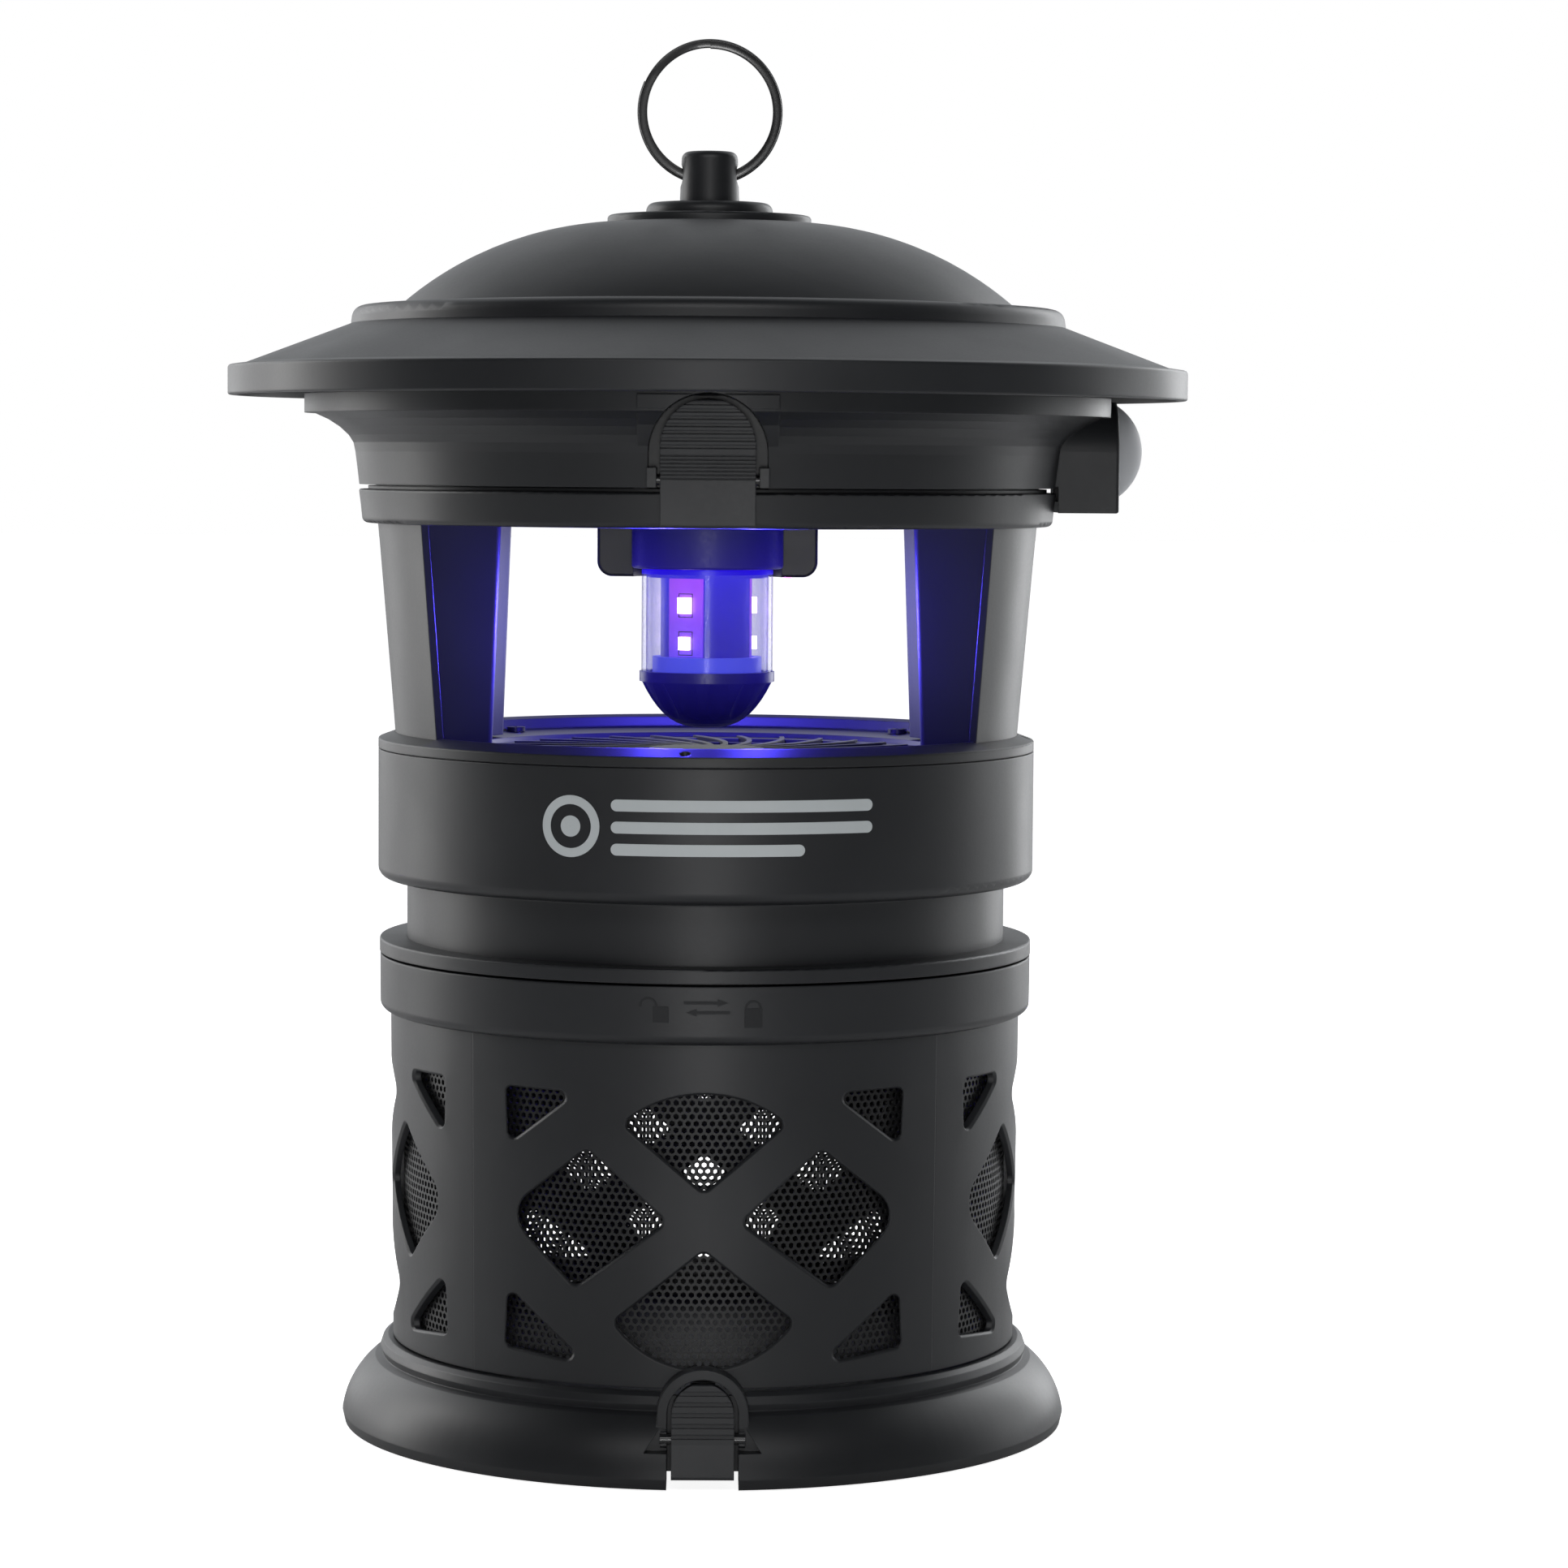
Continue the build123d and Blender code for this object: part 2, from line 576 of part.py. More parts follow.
def blade():
    """A blade that turns flatter from root to tip, between two set sections."""
    across = (0, 1, 0)
    root = Plane(origin=(19.8, 0, 161.0), x_dir=across, z_dir=(1, 0, 0)) * Rot(0, 0, 36) * Rectangle(16, 1.8)
    tip = Plane(origin=(69.0, 0, 161.0), x_dir=across, z_dir=(1, 0, 0)) * Rot(0, 0, 20) * Rectangle(30, 1.2)
    return loft([root.face(), tip.face()]) & disc(R_ROTOR, 150, 175)


def fanLead():
    route = [(X_LEAD, 0, Z_POST_TOP), (X_LEAD, 0, 147.6), (-17.1, 0, 147.6)]
    path = FilletPolyline(*route, radius=6.0)
    profile = Plane(origin=path @ 0, z_dir=path % 0) * Circle(1.3)
    return sweep(profile, path=path)


def leadSocket():
    return block((-79.6, -60.6), (-6.0, 6.0), (Z_POST_TOP, 237.4))


def lidContact():
    return block((-76.0, -64.0), (-5.0, 5.0), (237.75, Z_CEILING))


# ---------------------------------------------------------------- basket

def basketCollar():
    collar = turned([(79.4, Z_COLLAR), (R_COLLAR - 0.2, Z_COLLAR), (R_COLLAR - 0.1, Z_FLANGE - 0.6),
                     (79.6, Z_FLANGE - 0.6), (79.6, 120.2), (82.4, 120.2), (82.4, 109.8), (79.4, 109.8)],
                    [(1, 2.4), (2, 0.4)])
    for i in range(CATCH_COUNT):
        ledge = disc(82.7, 109.4, 112.5, 78.3) & wedge(30 + i * 120, 8, 100, 120)
        collar += ledge
    slot = block((80, 90), (-3.5, 3.5), (113.2, 117.6))
    return collar - slot


def windowCutters():
    """The openings of one panel, cut straight through along Y as its mould is drawn."""
    cuts = []
    for side in (LEFT, RIGHT):
        upper = [(31.6, 95.0), (49.3, 95.3), (48.7, 80.8)]
        diamond = [(28.8, 81.4), (9.1, 63.8), (31.8, 46.5), (49.4, 63.8)]
        lower = [(48.6, 45.0), (49.3, 30.0), (29.0, 27.8)]
        for corners, radii in ((upper, (1.6, 1.6, 1.6)), (diamond, (2.4, 1.8, 2.4, 7.0)),
                               (lower, (1.6, 1.6, 1.6))):
            points = [(side * x, 0, z) for x, z in corners]
            face = make_face(Polyline(*points, close=True))
            for point, radius in zip(points, radii):
                face = face.face().fillet_2d(radius, [near(face, point)])
            cuts.append(face)
    fan = make_face(Polyline((20.2, 0, 87.8), (0, 0, 71.0), (-20.2, 0, 87.8))
                    + ThreePointArc((-20.2, 0, 87.8), (0, 0, 95.4), (20.2, 0, 87.8)))
    kite = make_face(Polyline((22.3, 0, 38.6), (0, 0, 56.7), (-22.3, 0, 38.6))
                     + ThreePointArc((-22.3, 0, 38.6), (0, 0, 27.2), (22.3, 0, 38.6)))
    for face, points in ((fan, ((20.2, 0, 87.8), (-20.2, 0, 87.8), (0, 0, 71.0))),
                         (kite, ((22.3, 0, 38.6), (-22.3, 0, 38.6), (0, 0, 56.7)))):
        for point in points:
            face = face.face().fillet_2d(2.0, [near(face, point)])
        cuts.append(face)
    return [extrude(face.face(), 100, dir=(0, -1, 0)) for face in cuts]


def latticePanel():
    """One quarter of the lattice, facing the front."""
    wall = turned([(R_PANEL_FOOT - 2.0, Z_PANEL), (R_PANEL_FOOT, Z_PANEL), (R_PANEL, Z_COLLAR),
                   (R_PANEL - 2.0, Z_COLLAR)])
    wall &= wedge(FRONT, 45, Z_PANEL, Z_COLLAR)
    for cut in windowCutters():
        wall -= cut
    rims = [e for e in wall.edges() if isRim(e)]
    return wall.chamfer(0.55, None, rims)


def isRim(edge):
    """The outer edge of an opening: on the outside, clear of the panel's own border."""
    places = [edge.position_at(t) for t in (0.0, 0.5, 1.0)]
    outside = all(hypot(p.X, p.Y) > R_PANEL_FOOT - 0.1 for p in places)
    inside = all(Z_PANEL + 1 < p.Z < Z_COLLAR - 1 and abs(degrees(atan2(p.X, -p.Y))) < 44.0 for p in places)
    return outside and inside


def latchNotch():
    return block((-5.4, 5.4), (-90, -70), (20, 25.2))


def meshBasket():
    return disc(R_MESH, 24.0, 106.6, R_MESH - 0.8)


# ---------------------------------------------------------------- base

def skirtOutline():
    outer = (Polyline((R_FOOT - 2.2, 0, 0), (R_FOOT - 0.6, 0, 0), (R_FOOT, 0, 2.6))
             + ThreePointArc((R_FOOT, 0, 2.6), (91.6, 0, 10.6), (86.0, 0, 16.6))
             + Polyline((86.0, 0, 16.6), (84.0, 0, 17.4), (84.6, 0, 19.2), (84.0, 0, 21.0), (82.6, 0, Z_SKIRT),
                        (80.6, 0, Z_SKIRT), (80.6, 0, 17.2))
             + ThreePointArc((80.6, 0, 17.2), (88.6, 0, 10.4), (R_FOOT - 2.8, 0, 2.6))
             + Line((R_FOOT - 2.8, 0, 2.6), (R_FOOT - 2.2, 0, 0)))
    return make_face(outer)


def baseSkirt():
    skirt = revolve(skirtOutline(), Axis.Z)
    solid = disc(99, 0, 20) & turned([(0, 0), (R_FOOT - 0.8, 0), (R_FOOT - 0.2, 2.6), (91.5, 10.6), (86.0, 16.4),
                                      (0, 16.4)])
    cheeks = [block((side * 12.2 - 3.4, side * 12.2 + 3.4), (-96, -80.0), (0, 16.4)) for side in (LEFT, RIGHT)]
    for cheek in cheeks:
        skirt += cheek & solid
    skirt -= block((-8.8, 8.8), (-99, -70), (-1, 23))
    skirt += block((-9.2, 9.2), (-85.6, -84.0), (3.0, 21.8))
    for side in (LEFT, RIGHT):
        skirt -= latchScoop(side)
        arm = block((side * 13 - 3.0, side * 13 + 3.0), (82.0, DOOR_AXIS[0]), (15.6, 21.0))
        arm += rod_x(3.0, side * 13 - 3.0, side * 13 + 3.0, *DOOR_AXIS)
        skirt += arm - disc(82.4, 10, 30)
    skirt += latchArch()
    skirt -= rod_x(1.5, -20, 20, *DOOR_AXIS)
    return skirt - rod_x(R_PIN, -BASE_PIN, BASE_PIN, *BASE_LATCH_AXIS)


def latchScoop(side):
    """A finger scoop beside the latch, with a round lug left standing round the pin."""
    corners = [(8.7, 8.65), (14.4, 8.65), (10.8, 14.0), (8.7, 14.0)]
    face = make_face(Polyline(*[(side * x, -99, z) for x, z in corners], close=True))
    scoop = extrude(face, 10.8, dir=(0, 1, 0))
    return scoop - rod_x(2.0, side * 9.55 - 0.85, side * 9.55 + 0.85, *BASE_LATCH_AXIS)


def latchArch():
    """An arch that frames the base latch and stands in front of the lattice."""
    outer = archBound(11.2, 17.4, 14.0) & disc(88.6, 9, 30)
    return outer - archBound(8.8, 17.4, 0.0) - disc(R_PANEL + 0.5, 0, 40)


def baseFloor():
    plate = disc(80.5, 14.6, 17.0)
    for radius in (26.0, 54.0):
        plate += disc(radius, 11.8, 14.6, radius - 1.8)
    for i in range(6):
        rib = block((25.5, 79.5), (-0.8, 0.8), (11.8, 14.6))
        plate += Rot(0, 0, 30 + i * 60) * rib
    return plate


def baseHingePin():
    pin = rod_x(1.5, -16.0, 16.0, *DOOR_AXIS)
    return pin + rod_x(2.3, 16.0, 17.2, *DOOR_AXIS)


def basketKnuckle():
    """The middle of the rear hinge, on the basket's own foot ring."""
    knuckle = rod_x(3.0, -9.4, 9.4, *DOOR_AXIS) + block((-9.4, 9.4), (81.0, DOOR_AXIS[0]), (22.5, 24.6))
    knuckle -= disc(81.32, 10, 30)
    return knuckle - rod_x(1.56, -12, 12, *DOOR_AXIS)


def baseLatchLever():
    half = 7.7
    lever = leverSide([(-94.0, 2.4), (-93.4, 11.0), (-88.9, 25.0), (-86.4, 25.0), (-88.0, 14.4), (-86.6, 12.6),
                       (-86.6, 9.6), (-90.0, 8.6), (-91.4, 2.4)], [(0, 0.8), (2, 0.8)], half)
    lever &= archBound(half, 17.6, 2.4)
    for i in range(5):
        z = 23.0 - i * 2.5
        y = -93.4 + (z - 11.0) * 4.5 / 14.0
        lever -= block((-half - 1, half + 1), (y - 0.8, y + 0.55), (z - 0.6, z + 0.45))
    lever += block((-3.0, 3.0), (-87.6, -80.5), (22.9, 23.9))
    return lever - rod_x(R_PIN + 0.05, -15, 15, *BASE_LATCH_AXIS)


def baseLatchPin():
    return rod_x(R_PIN, -BASE_PIN, BASE_PIN, *BASE_LATCH_AXIS)


# ---------------------------------------------------------------- assembly

def nodes():
    quarter = latticePanel()
    built = {
        "roof": roof(),
        "finial": finial(),
        "finial_nut": finialNut(),
        "finial_washer": finialWasher(),
        "hanging_ring": hangingRing(),
        "upper_housing": upperHousing(),
        "power_inlet": powerInlet(),
        "lid_hinge_pin": lidHingePin(),
        "ceiling_plate": ceilingPlate(),
        "ceiling_screws": ceilingScrews(),
        "roof_screws": roofScrews(),
        "lid_contact": lidContact(),
        "driver_board": driverBoard(),
        "board_parts": boardParts(),
        "board_screws": boardScrews(),
        "switch_body": switchBody(),
        "power_button": powerButton(),
        "top_latch_lever": topLatchLever(),
        "top_latch_pin": topLatchPin(),
        "top_latch_spring": topLatchSpring(),
        "lamp_bracket": lampBracket(),
        "indicator_lens": indicatorLens(),
        "lamp_socket": lampSocket(),
        "lamp_base": lampBase(),
        "clear_tube": clearTube(),
        "led_carrier": ledCarrier(),
        "led_strips": ledStrips(),
        "leds": leds(),
        "lamp_collar": lampCollar(),
        "lamp_cap": lampCap(),
        "cage_frame": cageFrame(),
        "intake_plate": intakePlate(),
        "intake_screws": intakeScrews(),
        "intake_grille": intakeGrille(),
        "fan_housing": fanHousing(),
        "neck_flange": neckFlange(),
        "fan_frame": fanFrame(),
        "fan_motor": fanMotor(),
        "motor_shaft": motorShaft(),
        "fan_rotor": fanRotor(),
        "fan_lead": fanLead(),
        "lead_socket": leadSocket(),
        "basket_collar": basketCollar(),
        "lattice_front": quarter - latchNotch(),
        "lattice_right": Rot(0, 0, 90) * quarter,
        "lattice_rear": Rot(0, 0, 180) * quarter,
        "lattice_left": Rot(0, 0, 270) * quarter,
        "mesh_basket": meshBasket(),
        "basket_knuckle": basketKnuckle(),
        "base_skirt": baseSkirt(),
        "base_floor": baseFloor(),
        "base_hinge_pin": baseHingePin(),
        "base_latch_lever": baseLatchLever(),
        "base_latch_pin": baseLatchPin(),
    }
    return built


os.makedirs("parts", exist_ok=True)
for name, shape in nodes().items():
    export_step(shape, f"parts/{name}.step")
    print(name, round(shape.volume / 1000, 2), "cm3")
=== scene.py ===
import math

import bmesh
import bpy
import numpy as np
from mathutils import Matrix, Vector


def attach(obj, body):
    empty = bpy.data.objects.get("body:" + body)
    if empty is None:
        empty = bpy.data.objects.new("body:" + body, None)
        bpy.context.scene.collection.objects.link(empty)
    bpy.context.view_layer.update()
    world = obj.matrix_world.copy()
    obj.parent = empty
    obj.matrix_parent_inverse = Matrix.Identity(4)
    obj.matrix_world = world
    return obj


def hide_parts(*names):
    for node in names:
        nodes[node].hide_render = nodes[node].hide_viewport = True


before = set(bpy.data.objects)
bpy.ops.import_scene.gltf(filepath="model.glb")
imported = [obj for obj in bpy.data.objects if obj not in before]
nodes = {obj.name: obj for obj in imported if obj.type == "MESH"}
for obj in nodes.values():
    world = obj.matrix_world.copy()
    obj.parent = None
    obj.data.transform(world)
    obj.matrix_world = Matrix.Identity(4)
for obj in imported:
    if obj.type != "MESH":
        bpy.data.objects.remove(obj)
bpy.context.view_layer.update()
mm = 0.001
print("frame loaded:", len(nodes), "nodes")


# ---- studio: camera, lights, floor

studio = {
    "distance": 1.214,      # camera to the trap's axis, metres
    "height": 0.250,
    "lens": 106.96,
    "pitch": -3.95,         # degrees, down
    "yaw": -0.958,
    "roll": 0.39,
    "skyBehind": 0.80,      # soft light from behind the trap
    "skyFront": 0.03,       # and from the near side
    "skyRise": (0.2, 0.6),  # where the light rises from the near value to the far one, along y
    "skyTint": (0.94, 0.97, 1.0),
    "floorTone": 0.82,
    "floorGlow": 0.05,      # what the floor gives off towards the trap
    "floorClear": 0.90,     # and what is seen of it directly
    "floorReach": 14.0,
    "floorDrop": 0.0004,    # the floor lies this far under the trap
}


def makeCamera():
    data = bpy.data.cameras.new("studioCamera")
    data.lens = studio["lens"]
    data.sensor_width = 36.0
    data.clip_start, data.clip_end = 0.05, 50.0
    camera = bpy.data.objects.new("studioCamera", data)
    bpy.context.scene.collection.objects.link(camera)
    turn = (Matrix.Rotation(math.radians(studio["yaw"]), 4, "Z")
            @ Matrix.Rotation(math.radians(90 + studio["pitch"]), 4, "X")
            @ Matrix.Rotation(math.radians(studio["roll"]), 4, "Z"))
    camera.matrix_world = Matrix.Translation((0, -studio["distance"], studio["height"])) @ turn
    bpy.context.scene.camera = camera


def makeSky():
    # brightness rises smoothly from the near side to the far side; looked at directly it is plain white
    world = bpy.data.worlds.new("softSky")
    world.use_nodes = True
    tree = world.node_tree
    tree.nodes.clear()
    out = tree.nodes.new("ShaderNodeOutputWorld")
    light = tree.nodes.new("ShaderNodeBackground")
    plain = tree.nodes.new("ShaderNodeBackground")
    pick = tree.nodes.new("ShaderNodeMixShader")
    path = tree.nodes.new("ShaderNodeLightPath")
    where = tree.nodes.new("ShaderNodeTexCoord")
    split = tree.nodes.new("ShaderNodeSeparateXYZ")
    ramp = tree.nodes.new("ShaderNodeMapRange")
    ramp.interpolation_type = "SMOOTHSTEP"
    ramp.inputs["From Min"].default_value, ramp.inputs["From Max"].default_value = studio["skyRise"]
    ramp.inputs["To Min"].default_value = studio["skyFront"]
    ramp.inputs["To Max"].default_value = studio["skyBehind"]
    light.inputs["Color"].default_value = (*studio["skyTint"], 1.0)
    plain.inputs["Color"].default_value = (1.0, 1.0, 1.0, 1.0)
    link = tree.links.new
    link(where.outputs["Generated"], split.inputs[0])
    link(split.outputs["Y"], ramp.inputs["Value"])
    link(ramp.outputs["Result"], light.inputs["Strength"])
    link(path.outputs["Is Camera Ray"], pick.inputs[0])
    link(light.outputs[0], pick.inputs[1])
    link(plain.outputs[0], pick.inputs[2])
    link(pick.outputs[0], out.inputs["Surface"])
    bpy.context.scene.world = world
    bpy.context.scene.view_settings.view_transform = "Standard"


boxTarget = (0, 0, 0.18)    # every soft box is aimed here

softBoxes = {
    "leftBack": {"at": (-1.1, 0.45, 0.35), "size": (0.4, 1.2), "watts": 7.6, "tint": (1.0, 0.99, 0.98)},
    "leftFar": {"at": (-0.75, 1.0, 0.35), "size": (0.4, 1.2), "watts": 3.0, "tint": (1.0, 1.0, 1.0)},
    "rightFar": {"at": (0.75, 1.0, 0.35), "size": (0.4, 1.2), "watts": 6.0, "tint": (0.98, 0.99, 1.0)},
    "rightBack": {"at": (1.1, 0.45, 0.35), "size": (0.4, 1.2), "watts": 3.0, "tint": (0.98, 0.99, 1.0)},
    "frontHigh": {"at": (0.0, -1.2, 1.15), "size": (1.2, 0.45), "watts": 5.5, "tint": (1.0, 1.0, 1.0)},
    "frontLow": {"at": (0.0, -1.6, 0.10), "size": (0.25, 0.4), "watts": 4.0, "tint": (1.0, 1.0, 1.0)},
}


def makeSoftBoxes():
    target = Vector(boxTarget)
    for name, values in softBoxes.items():
        data = bpy.data.lights.new(name, "AREA")
        data.shape = "RECTANGLE"
        data.size, data.size_y = values["size"]
        data.energy = values["watts"]
        data.color = values["tint"]
        box = bpy.data.objects.new(name, data)
        box.location = values["at"]
        box.rotation_euler = (target - box.location).to_track_quat("-Z", "Y").to_euler()
        box.visible_camera = False
        bpy.context.scene.collection.objects.link(box)


# ---- numpy surfaces

def gridFaces(rows, columns, closeRows=False, closeColumns=False):
    # quads between neighbouring points of a rows by columns grid, joined end to end where closed
    i, j = np.meshgrid(np.arange(rows - (not closeRows)), np.arange(columns - (not closeColumns)), indexing="ij")
    down, across = (i + 1) % rows, (j + 1) % columns
    quads = np.stack([i * columns + j, i * columns + across, down * columns + across, down * columns + j], axis=-1)
    return quads.reshape(-1, 4)


def putMesh(name, points, quads, material, body, standsFor=(), smooth=True):
    # equal corners in a quad make a triangle; the mesh comes straight from the arrays
    mesh = bpy.data.meshes.new(name)
    mesh.vertices.add(len(points))
    mesh.vertices.foreach_set("co", np.asarray(points, np.float32).ravel())
    size = quads.shape[1]
    mesh.loops.add(quads.size)
    mesh.loops.foreach_set("vertex_index", quads.astype(np.int32).ravel())
    mesh.polygons.add(len(quads))
    mesh.polygons.foreach_set("loop_start", np.arange(0, quads.size, size, dtype=np.int32))
    mesh.polygons.foreach_set("use_smooth", np.full(len(quads), smooth))
    mesh.update(calc_edges=True)
    mesh.validate()
    piece = bpy.data.objects.new(name, mesh)
    bpy.context.scene.collection.objects.link(piece)
    mesh.materials.append(material)
    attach(piece, body)
    if standsFor:
        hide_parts(*standsFor)
    return piece


def sweptSection(centre, outward, side, section):
    # every section point (a, b) is carried along the path at centre + a outward + b side
    return (centre[:, None, :] + section[None, :, :1] * outward[:, None, :] + section[None, :, 1:] * side[:, None, :])


def roundedSection(width, height, corner, steps=4):
    # a rectangle whose corners are quarter circles, counter-clockwise
    turns = np.linspace(0, math.pi / 2, steps)
    starts = np.arange(4) * math.pi / 2
    angle = (starts[:, None] + turns[None, :]).ravel()
    cx = np.repeat(np.array([1, -1, -1, 1]) * (width / 2 - corner), steps)
    cy = np.repeat(np.array([1, 1, -1, -1]) * (height / 2 - corner), steps)
    return np.stack([cx + corner * np.cos(angle), cy + corner * np.sin(angle)], axis=1)


# ---- shader groups, shared by the finishes

def makeGroup(name, inputs, outputs):
    group = bpy.data.node_groups.new(name, "ShaderNodeTree")
    for label, kind, value in inputs:
        socket = group.interface.new_socket(label, in_out="INPUT", socket_type=kind)
        if value is not None:
            socket.default_value = value
    for label, kind in outputs:
        group.interface.new_socket(label, in_out="OUTPUT", socket_type=kind)
    return group, group.nodes.new("NodeGroupInput"), group.nodes.new("NodeGroupOutput")


def mathNode(tree, operation, first, second=None, clamp=False):
    node = tree.nodes.new("ShaderNodeMath")
    node.operation = operation
    node.use_clamp = clamp
    for socket, value in zip(node.inputs, (first, second)):
        if value is None:
            continue
        if isinstance(value, (int, float)):
            socket.default_value = value
        else:
            tree.links.new(value, socket)
    return node.outputs[0]


def noiseNode(tree, vector, scale, detail=2.0, rough=0.5):
    node = tree.nodes.new("ShaderNodeTexNoise")
    node.inputs["Detail"].default_value = detail
    node.inputs["Roughness"].default_value = rough
    tree.links.new(vector, node.inputs["Vector"])
    if isinstance(scale, (int, float)):
        node.inputs["Scale"].default_value = scale
    else:
        tree.links.new(scale, node.inputs["Scale"])
    return node.outputs["Fac"]


def makeGrainGroup():
    # spark-eroded moulding skin: two sizes of fine noise added together, and a slow drift of tone
    group, given, put = makeGroup(
        "mouldedGrain",
        [("Vector", "NodeSocketVector", None), ("Grain Scale", "NodeSocketFloat", 1500.0),
         ("Drift Scale", "NodeSocketFloat", 22.0)],
        [("Height", "NodeSocketFloat"), ("Tone", "NodeSocketFloat"), ("Rough", "NodeSocketFloat")])
    fine = noiseNode(group, given.outputs["Vector"], given.outputs["Grain Scale"], 3.0, 0.6)
    broadScale = mathNode(group, "MULTIPLY", given.outputs["Grain Scale"], 0.31)
    broad = noiseNode(group, given.outputs["Vector"], broadScale, 1.0, 0.5)
    drift = noiseNode(group, given.outputs["Vector"], given.outputs["Drift Scale"], 3.0, 0.55)
    height = mathNode(group, "ADD", mathNode(group, "MULTIPLY", fine, 0.6), mathNode(group, "MULTIPLY", broad, 0.4))
    rough = mathNode(group, "ADD", mathNode(group, "MULTIPLY", drift, 0.7), mathNode(group, "MULTIPLY", fine, 0.3))
    group.links.new(height, put.inputs["Height"])
    group.links.new(drift, put.inputs["Tone"])
    group.links.new(rough, put.inputs["Rough"])
    return group


def makeEdgeGroup():
    # how far the surface normal turns within a small radius: 0 on the flat, 1 on a sharp edge; broken up by noise,
    # the mask paints a highlight along the edges, while the rounded normal gives them real shading
    group, given, put = makeGroup(
        "edgeHighlightPaint", [("Vector", "NodeSocketVector", None), ("Gain", "NodeSocketFloat", 6.0)],
        [("Mask", "NodeSocketFloat"), ("Normal", "NodeSocketVector")])
    bevel = group.nodes.new("ShaderNodeBevel")
    bevel.samples = 4
    bevel.inputs["Radius"].default_value = 0.45 * mm
    geometry = group.nodes.new("ShaderNodeNewGeometry")
    dot = group.nodes.new("ShaderNodeVectorMath")
    dot.operation = "DOT_PRODUCT"
    group.links.new(bevel.outputs[0], dot.inputs[0])
    group.links.new(geometry.outputs["Normal"], dot.inputs[1])
    turned = mathNode(group, "SUBTRACT", 1.0, dot.outputs["Value"], True)
    patches = noiseNode(group, given.outputs["Vector"], 260.0, 2.0)
    gained = mathNode(group, "MULTIPLY", turned, given.outputs["Gain"], True)
    mask = mathNode(group, "MULTIPLY", gained, patches, True)
    group.links.new(mask, put.inputs["Mask"])
    group.links.new(bevel.outputs[0], put.inputs["Normal"])
    return group


grainGroup = makeGrainGroup()
edgeGroup = makeEdgeGroup()
print("shader groups built")


# ---- finishes

def startMaterial(name):
    material = bpy.data.materials.new(name)
    material.use_nodes = True
    tree = material.node_tree
    return material, tree, tree.nodes["Principled BSDF"], tree.nodes.new("ShaderNodeTexCoord").outputs["Object"]


def mixColour(tree, factor, low, high):
    mix = tree.nodes.new("ShaderNodeMix")
    mix.data_type = "RGBA"
    tree.links.new(factor, mix.inputs[0])
    mix.inputs[6].default_value = (*low, 1.0)
    mix.inputs[7].default_value = (*high, 1.0)
    return mix.outputs[2]


def rangeNode(tree, value, low, high):
    node = tree.nodes.new("ShaderNodeMapRange")
    tree.links.new(value, node.inputs["Value"])
    node.inputs["From Min"].default_value = 0.3
    node.inputs["From Max"].default_value = 0.7
    node.inputs["To Min"].default_value = low
    node.inputs["To Max"].default_value = high
    return node.outputs["Result"]


def grainFinish(name, dark, light, rough, grain=1500.0, bump=0.12, metallic=0.0, specular=0.5, paintedEdgeHighlight=None, coat=0.0):
    # colour drifts between dark and light, roughness between its two ends, and the grain lifts the surface; where an
    # edge colour is given, sharp edges get a painted highlight and a rounded normal
    material, tree, shader, where = startMaterial(name)
    link = tree.links.new
    skin = tree.nodes.new("ShaderNodeGroup")
    skin.node_tree = grainGroup
    link(where, skin.inputs["Vector"])
    skin.inputs["Grain Scale"].default_value = grain
    colour = mixColour(tree, rangeNode(tree, skin.outputs["Tone"], 0.0, 1.0), dark, light)
    link(rangeNode(tree, skin.outputs["Rough"], *rough), shader.inputs["Roughness"])
    lift = tree.nodes.new("ShaderNodeBump")
    lift.inputs["Strength"].default_value = bump
    lift.inputs["Distance"].default_value = 0.15 * mm
    link(skin.outputs["Height"], lift.inputs["Height"])
    # painted highlight: the edge mask lightens sharp edges towards this colour
    if paintedEdgeHighlight:
        edge = tree.nodes.new("ShaderNodeGroup")
        edge.node_tree = edgeGroup
        link(where, edge.inputs["Vector"])
        over = tree.nodes.new("ShaderNodeMix")
        over.data_type = "RGBA"
        link(edge.outputs["Mask"], over.inputs[0])
        link(colour, over.inputs[6])
        over.inputs[7].default_value = (*paintedEdgeHighlight, 1.0)
        colour = over.outputs[2]
        link(edge.outputs["Normal"], lift.inputs["Normal"])
    link(colour, shader.inputs["Base Color"])
    link(lift.outputs["Normal"], shader.inputs["Normal"])
    shader.inputs["Metallic"].default_value = metallic
    shader.inputs["Specular IOR Level"].default_value = specular
    shader.inputs["Coat Weight"].default_value = coat
    return material


def glowAndPaintedLightFinish(name, colour, low, high, strength, heights=(195.0, 220.0), rough=0.35):
    # a glowing surface, both the own light of the chips, strips and lens and painted light on the lamp's plastic
    # parts that the chips light: its glow runs from low at the first height (mm) to high at the second, broken up by
    # noise
    material, tree, shader, where = startMaterial(name)
    link = tree.links.new
    split = tree.nodes.new("ShaderNodeSeparateXYZ")
    link(where, split.inputs[0])
    climb = tree.nodes.new("ShaderNodeMapRange")
    link(split.outputs["Z"], climb.inputs["Value"])
    climb.inputs["From Min"].default_value = heights[0] * mm
    climb.inputs["From Max"].default_value = heights[1] * mm
    patches = mathNode(tree, "MULTIPLY", noiseNode(tree, where, 300.0, 2.0), 0.25)
    place = mathNode(tree, "ADD", mathNode(tree, "SUBTRACT", climb.outputs["Result"], 0.12), patches, True)
    link(mixColour(tree, place, low, high), shader.inputs["Emission Color"])
    link(mixColour(tree, place, tuple(0.8 * c for c in colour), colour), shader.inputs["Base Color"])
    shader.inputs["Emission Strength"].default_value = strength
    speckle = noiseNode(tree, where, 1200.0, 2.0)
    link(rangeNode(tree, speckle, rough - 0.05, rough + 0.05), shader.inputs["Roughness"])
    return material


